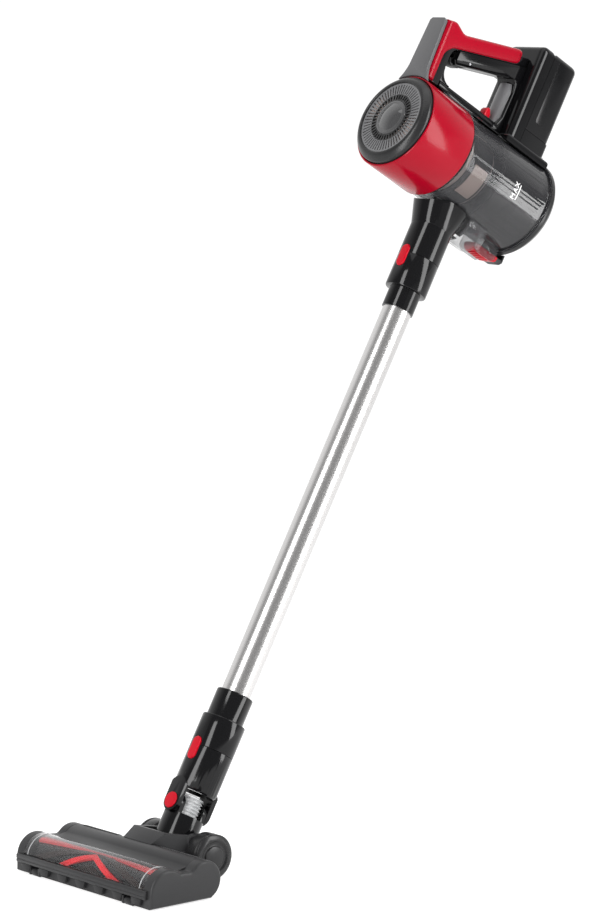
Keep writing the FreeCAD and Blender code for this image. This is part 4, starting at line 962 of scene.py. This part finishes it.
class HeadPieces(Operator):
    """End caps, covers, window, sole, bumper, bridge, wheels and rollers of the floor head"""

    bl_idname = "vacuum.head"
    bl_label = "Floor Head"

    def execute(self, context):
        head = context.scene.vacuum_head
        ease_all("head", [
            ("head_cover", 0.5 * MM, 2, "grey", "dark_grey"),
            ("brush_window", 0.4 * MM, 2, "window", "clear"),
            ("sole_plate", 0.4 * MM, 2, "satin", "black_satin"),
            ("rear_bridge", 1.4 * MM, 3, "grey", "dark_grey"),
        ])
        for side, sign in (("left", 1), ("right", -1)):
            cap = prism(f"end_cap_{side}_finished", [(sign * 111, back, up) for back, up in head_outline()],
                        (sign * 14, 0, 0), Matrix.Identity(4))
            edit(cap)
            choose(cap, "FACE", lambda face: abs(face.center.x) > 124.9)
            bpy.ops.mesh.select_mode(type="EDGE")
            bpy.ops.mesh.region_to_loop()
            bpy.ops.mesh.bevel(offset=head.cap_edge / MM, segments=6, profile=0.5, affect="EDGES",
                               clamp_overlap=False)
            leave()
            cap.data.transform(HEAD)
            tidy_normals(cap)
            smooth(cap, 30)
            settle(cap, "head", "grey", "dark_grey", f"end_cap_{side}")
        for side, low in (("left", 102.6), ("right", -103.8)):
            rim = arc((BRUSH_BACK, 17), 25.75, 12, 150, 30) + arc((BRUSH_BACK, 17), 25.0, 150, 12, 30)
            facing_front = [(2 * BRUSH_BACK - back, up) for back, up in rim]
            ring = side_prism(f"window_rim_{side}", facing_front, low, low + 1.2, HEAD, 0)
            settle(ring, "head", "hose", "clear")
        bumper = prism("bumper_strip", [(-118.6, back, up) for back, up in [
            (-143.6, 12.2), (-146.8, 12.2), (-147.7, 13.0), (-147.75, 15.4), (-147.2, 15.8), (-147.2, 16.5),
            (-147.75, 16.9), (-147.7, 20.6), (-147.0, 21.6), (-146.2, 21.9), (-143.6, 21.9)]],
                       (237.2, 0, 0), HEAD)
        rounded_edges(bumper, 0.25 * MM, 2)
        settle(bumper, "head", "grey", "dark_grey", "bumper")
        slat = side_prism("vent_slat", [on_bulge(reach, angle) for reach, angle in (
            (22.3, 64), (23.1, 66), (23.1, 75), (23.1, 84), (22.3, 86))], -0.8, 0.8, Matrix.Identity(4), 0.2)
        spots = [sign * (40 + 3.4 * index) for sign in (-1, 1) for index in range(19)]
        slats = joined("vent_slats", copies(slat, [Matrix.Translation((spot, 0, 0)) for spot in spots]))
        bpy.data.objects.remove(slat)
        slats.data.transform(HEAD)
        settle(slats, "head", "dark", "dark_grey")
        bed = [on_bulge(22.62, angle) for angle in range(62, 90, 4)]
        bed += [on_bulge(22.2, angle) for angle in range(86, 60, -4)]
        for side, low, high in (("right", -104, -38), ("left", 38, 104)):
            tray = side_prism(f"vent_bed_{side}", bed, low, high, HEAD, 0)
            settle(tray, "head", "black", "black_satin")
        finish_with(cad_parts["wheel_axle"], "steel")
        finish_with(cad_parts["brush_motor"], "steel")
        ease_all("rear_wheel_left", [("rear_wheel_left", 0.5 * MM, 2, "dark", "dark_grey")])
        ease_all("rear_wheel_right", [("rear_wheel_right", 0.5 * MM, 2, "dark", "dark_grey")])
        ease_all("front_rollers", [("front_rollers", 0.5 * MM, 2, "satin", "black_satin")])
        return {"FINISHED"}


def brush_strip(name, start, sweep, outer, thick, tufts, splay=1.0):
    """One chevron strip round the roll: it leans back from the middle towards both ends."""
    bpy.ops.object.select_all(action="DESELECT")
    bpy.ops.mesh.primitive_grid_add(x_subdivisions=2 * tufts, y_subdivisions=3, size=2)
    strip = bpy.context.active_object
    strip.name = name
    for vertex in strip.data.vertices:
        across, rank = vertex.co.x, (vertex.co.y + 1) / 2
        index = round((across + 1) * tufts)
        angle = math.radians(start - sweep * abs(across) + (index % 2 - 0.5) * 1.2 * rank * splay)
        radius = 15.7 + (outer - 15.7 - 0.25 * splay * (index % 2)) * rank
        vertex.co = (105 * across, BRUSH_BACK - radius * math.cos(angle), 19.6 + radius * math.sin(angle))
    tidy_normals(strip)
    with_modifier(strip, "SOLIDIFY", thickness=thick, offset=0.0)
    strip.data.transform(HEAD)
    tidy_normals(strip)
    smooth(strip, 50)
    return strip


class BrushPieces(Operator):
    """Brush roll with its core, dark plush and the chevron of red bristle strips"""

    bl_idname = "vacuum.brush"
    bl_label = "Brush Roll"

    def execute(self, context):
        tufts = context.scene.vacuum_head.tufts
        finish_with(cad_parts["brush_core"], "roll")
        strips = [brush_strip(f"bristle_strip_{index + 1}", start, sweep, 18.9, 6.4, tufts)
                  for index, (start, sweep) in enumerate(((66, 150), (246, 150), (112, 38), (292, 38)))]
        for strip in strips:
            settle(strip, "brushroll", "bristle", "bristle_red")
        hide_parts("brush_bristles")
        for index in range(4):
            plush = brush_strip(f"plush_strip_{index + 1}", 17 + 90 * index, 120, 16.9, 7.0, tufts, 0.0)
            settle(plush, "brushroll", "plush", "bristle_red")
        return {"FINISHED"}


# ---------------------------------------------------------------- stage


class StageSetting(Operator):
    """Pale floor, soft lights and the camera"""

    bl_idname = "vacuum.stage"
    bl_label = "Stage"

    def execute(self, context):
        bpy.ops.object.select_all(action="DESELECT")
        bpy.ops.mesh.primitive_circle_add(vertices=96, radius=600.0, fill_type="NGON", location=(0, 0, 0))
        floor = context.active_object
        floor.name = "floor"
        paint = Paint("Pale floor")
        clouds = paint.noise(0.8, 2.0)
        view = Vector((-0.7628, 0.6466, 0))
        right = Vector((0.6466, 0.7628, 0))
        lit = ((paint.along(view) + 2.2) / 1.7).limited()
        floor.data.materials.append(paint.done({
            "Base Color": paint.mixed(clouds, (0.46, 0.46, 0.46), (0.48, 0.48, 0.48)), "Roughness": 0.9,
            "Specular IOR Level": 0.0, "Emission Color": paint.mixed(lit, (0.34, 0.34, 0.34), (1, 1, 1)),
            "Emission Strength": 0.74}))

        room = Paint("Soft room", bpy.data.worlds, "Generated")
        light = 0.34 + 0.72 * ((room.along(view) + 0.15) / 0.5).limited()
        glow = room.node("ShaderNodeBackground", None, {"Color": (1, 1, 1, 1), "Strength": light})
        room.node("ShaderNodeOutputWorld", None, {"Surface": glow.outputs[0]})
        context.scene.world = room.owner
        context.scene.view_settings.view_transform = "Standard"

        middle = Vector((0, 0, 0.55))
        for name, across, toward, up, size, power in (
                ("Left strip", -1.0, 1.5, 0.9, (0.6, 2.4), 42),
                ("Right strip", 1.5, 0.6, 0.9, (0.6, 2.4), 40),
                ("Overhead", 0.1, 0.2, 2.4, (1.6, 1.2), 8)):
            spot = middle + right * across - view * toward + Vector((0, 0, up - 0.55))
            data = bpy.data.lights.new(name, "AREA")
            data.shape = "RECTANGLE"
            data.size, data.size_y = size
            data.energy = power
            lamp = bpy.data.objects.new(name, data)
            context.scene.collection.objects.link(lamp)
            lamp.location = spot
            lamp.rotation_euler = (middle - spot).to_track_quat("-Z", "Y").to_euler()

        data = bpy.data.cameras.new("Camera")
        data.sensor_width = 36
        data.sensor_fit = "AUTO"
        data.lens = 144.28
        data.clip_end = 1000
        camera = bpy.data.objects.new("Camera", data)
        context.scene.collection.objects.link(camera)
        camera.location = (3.2232, -2.7777, 1.0086)
        camera.rotation_euler = (math.radians(90 - 7.44), 0, math.radians(49.72))
        context.scene.camera = camera
        return {"FINISHED"}


class VacuumPanel(Panel):
    """Lists the steps that build the vacuum"""

    bl_idname = "VIEW3D_PT_stick_vacuum"
    bl_label = "Stick Vacuum"
    bl_space_type = "VIEW_3D"
    bl_region_type = "UI"
    bl_category = "Stick Vacuum"

    def draw(self, context):
        scene = context.scene
        for heading, group, names in (
                ("Motor Unit", scene.vacuum_body,
                 ("edge", "cover_edge", "pack_edge", "steps", "mark_height")),
                ("Floor Head", scene.vacuum_head, ("cap_edge", "tufts", "hose_ribs")),
                ("Colours", scene.vacuum_colours, ("red", "button", "black", "grey", "cover", "smoke"))):
            box = self.layout.box()
            box.label(text=heading)
            for name in names:
                box.prop(group, name)
        for step in STEPS:
            self.layout.operator(step.bl_idname)


STEPS = (BarrelPieces, HandlePieces, DockPieces, MotorPieces, CupPieces, WandPieces, NeckPieces, HeadPieces,
         BrushPieces, StageSetting)
CLASSES = (BodySettings, HeadSettings, ColourSettings, *STEPS, VacuumPanel)


def register():
    """Register the classes and hang the settings on the scene."""
    for entry in CLASSES:
        bpy.utils.register_class(entry)
    bpy.types.Scene.vacuum_body = PointerProperty(type=BodySettings)
    bpy.types.Scene.vacuum_head = PointerProperty(type=HeadSettings)
    bpy.types.Scene.vacuum_colours = PointerProperty(type=ColourSettings)


def unregister():
    """Undo the registration."""
    del bpy.types.Scene.vacuum_colours
    del bpy.types.Scene.vacuum_head
    del bpy.types.Scene.vacuum_body
    for entry in reversed(CLASSES):
        bpy.utils.unregister_class(entry)


def main():
    """Build everything in order."""
    register()
    make_finishes(bpy.context.scene.vacuum_colours)
    for step in STEPS:
        group, name = step.bl_idname.split(".")
        getattr(getattr(bpy.ops, group), name)()


if __name__ == "__main__":
    main()
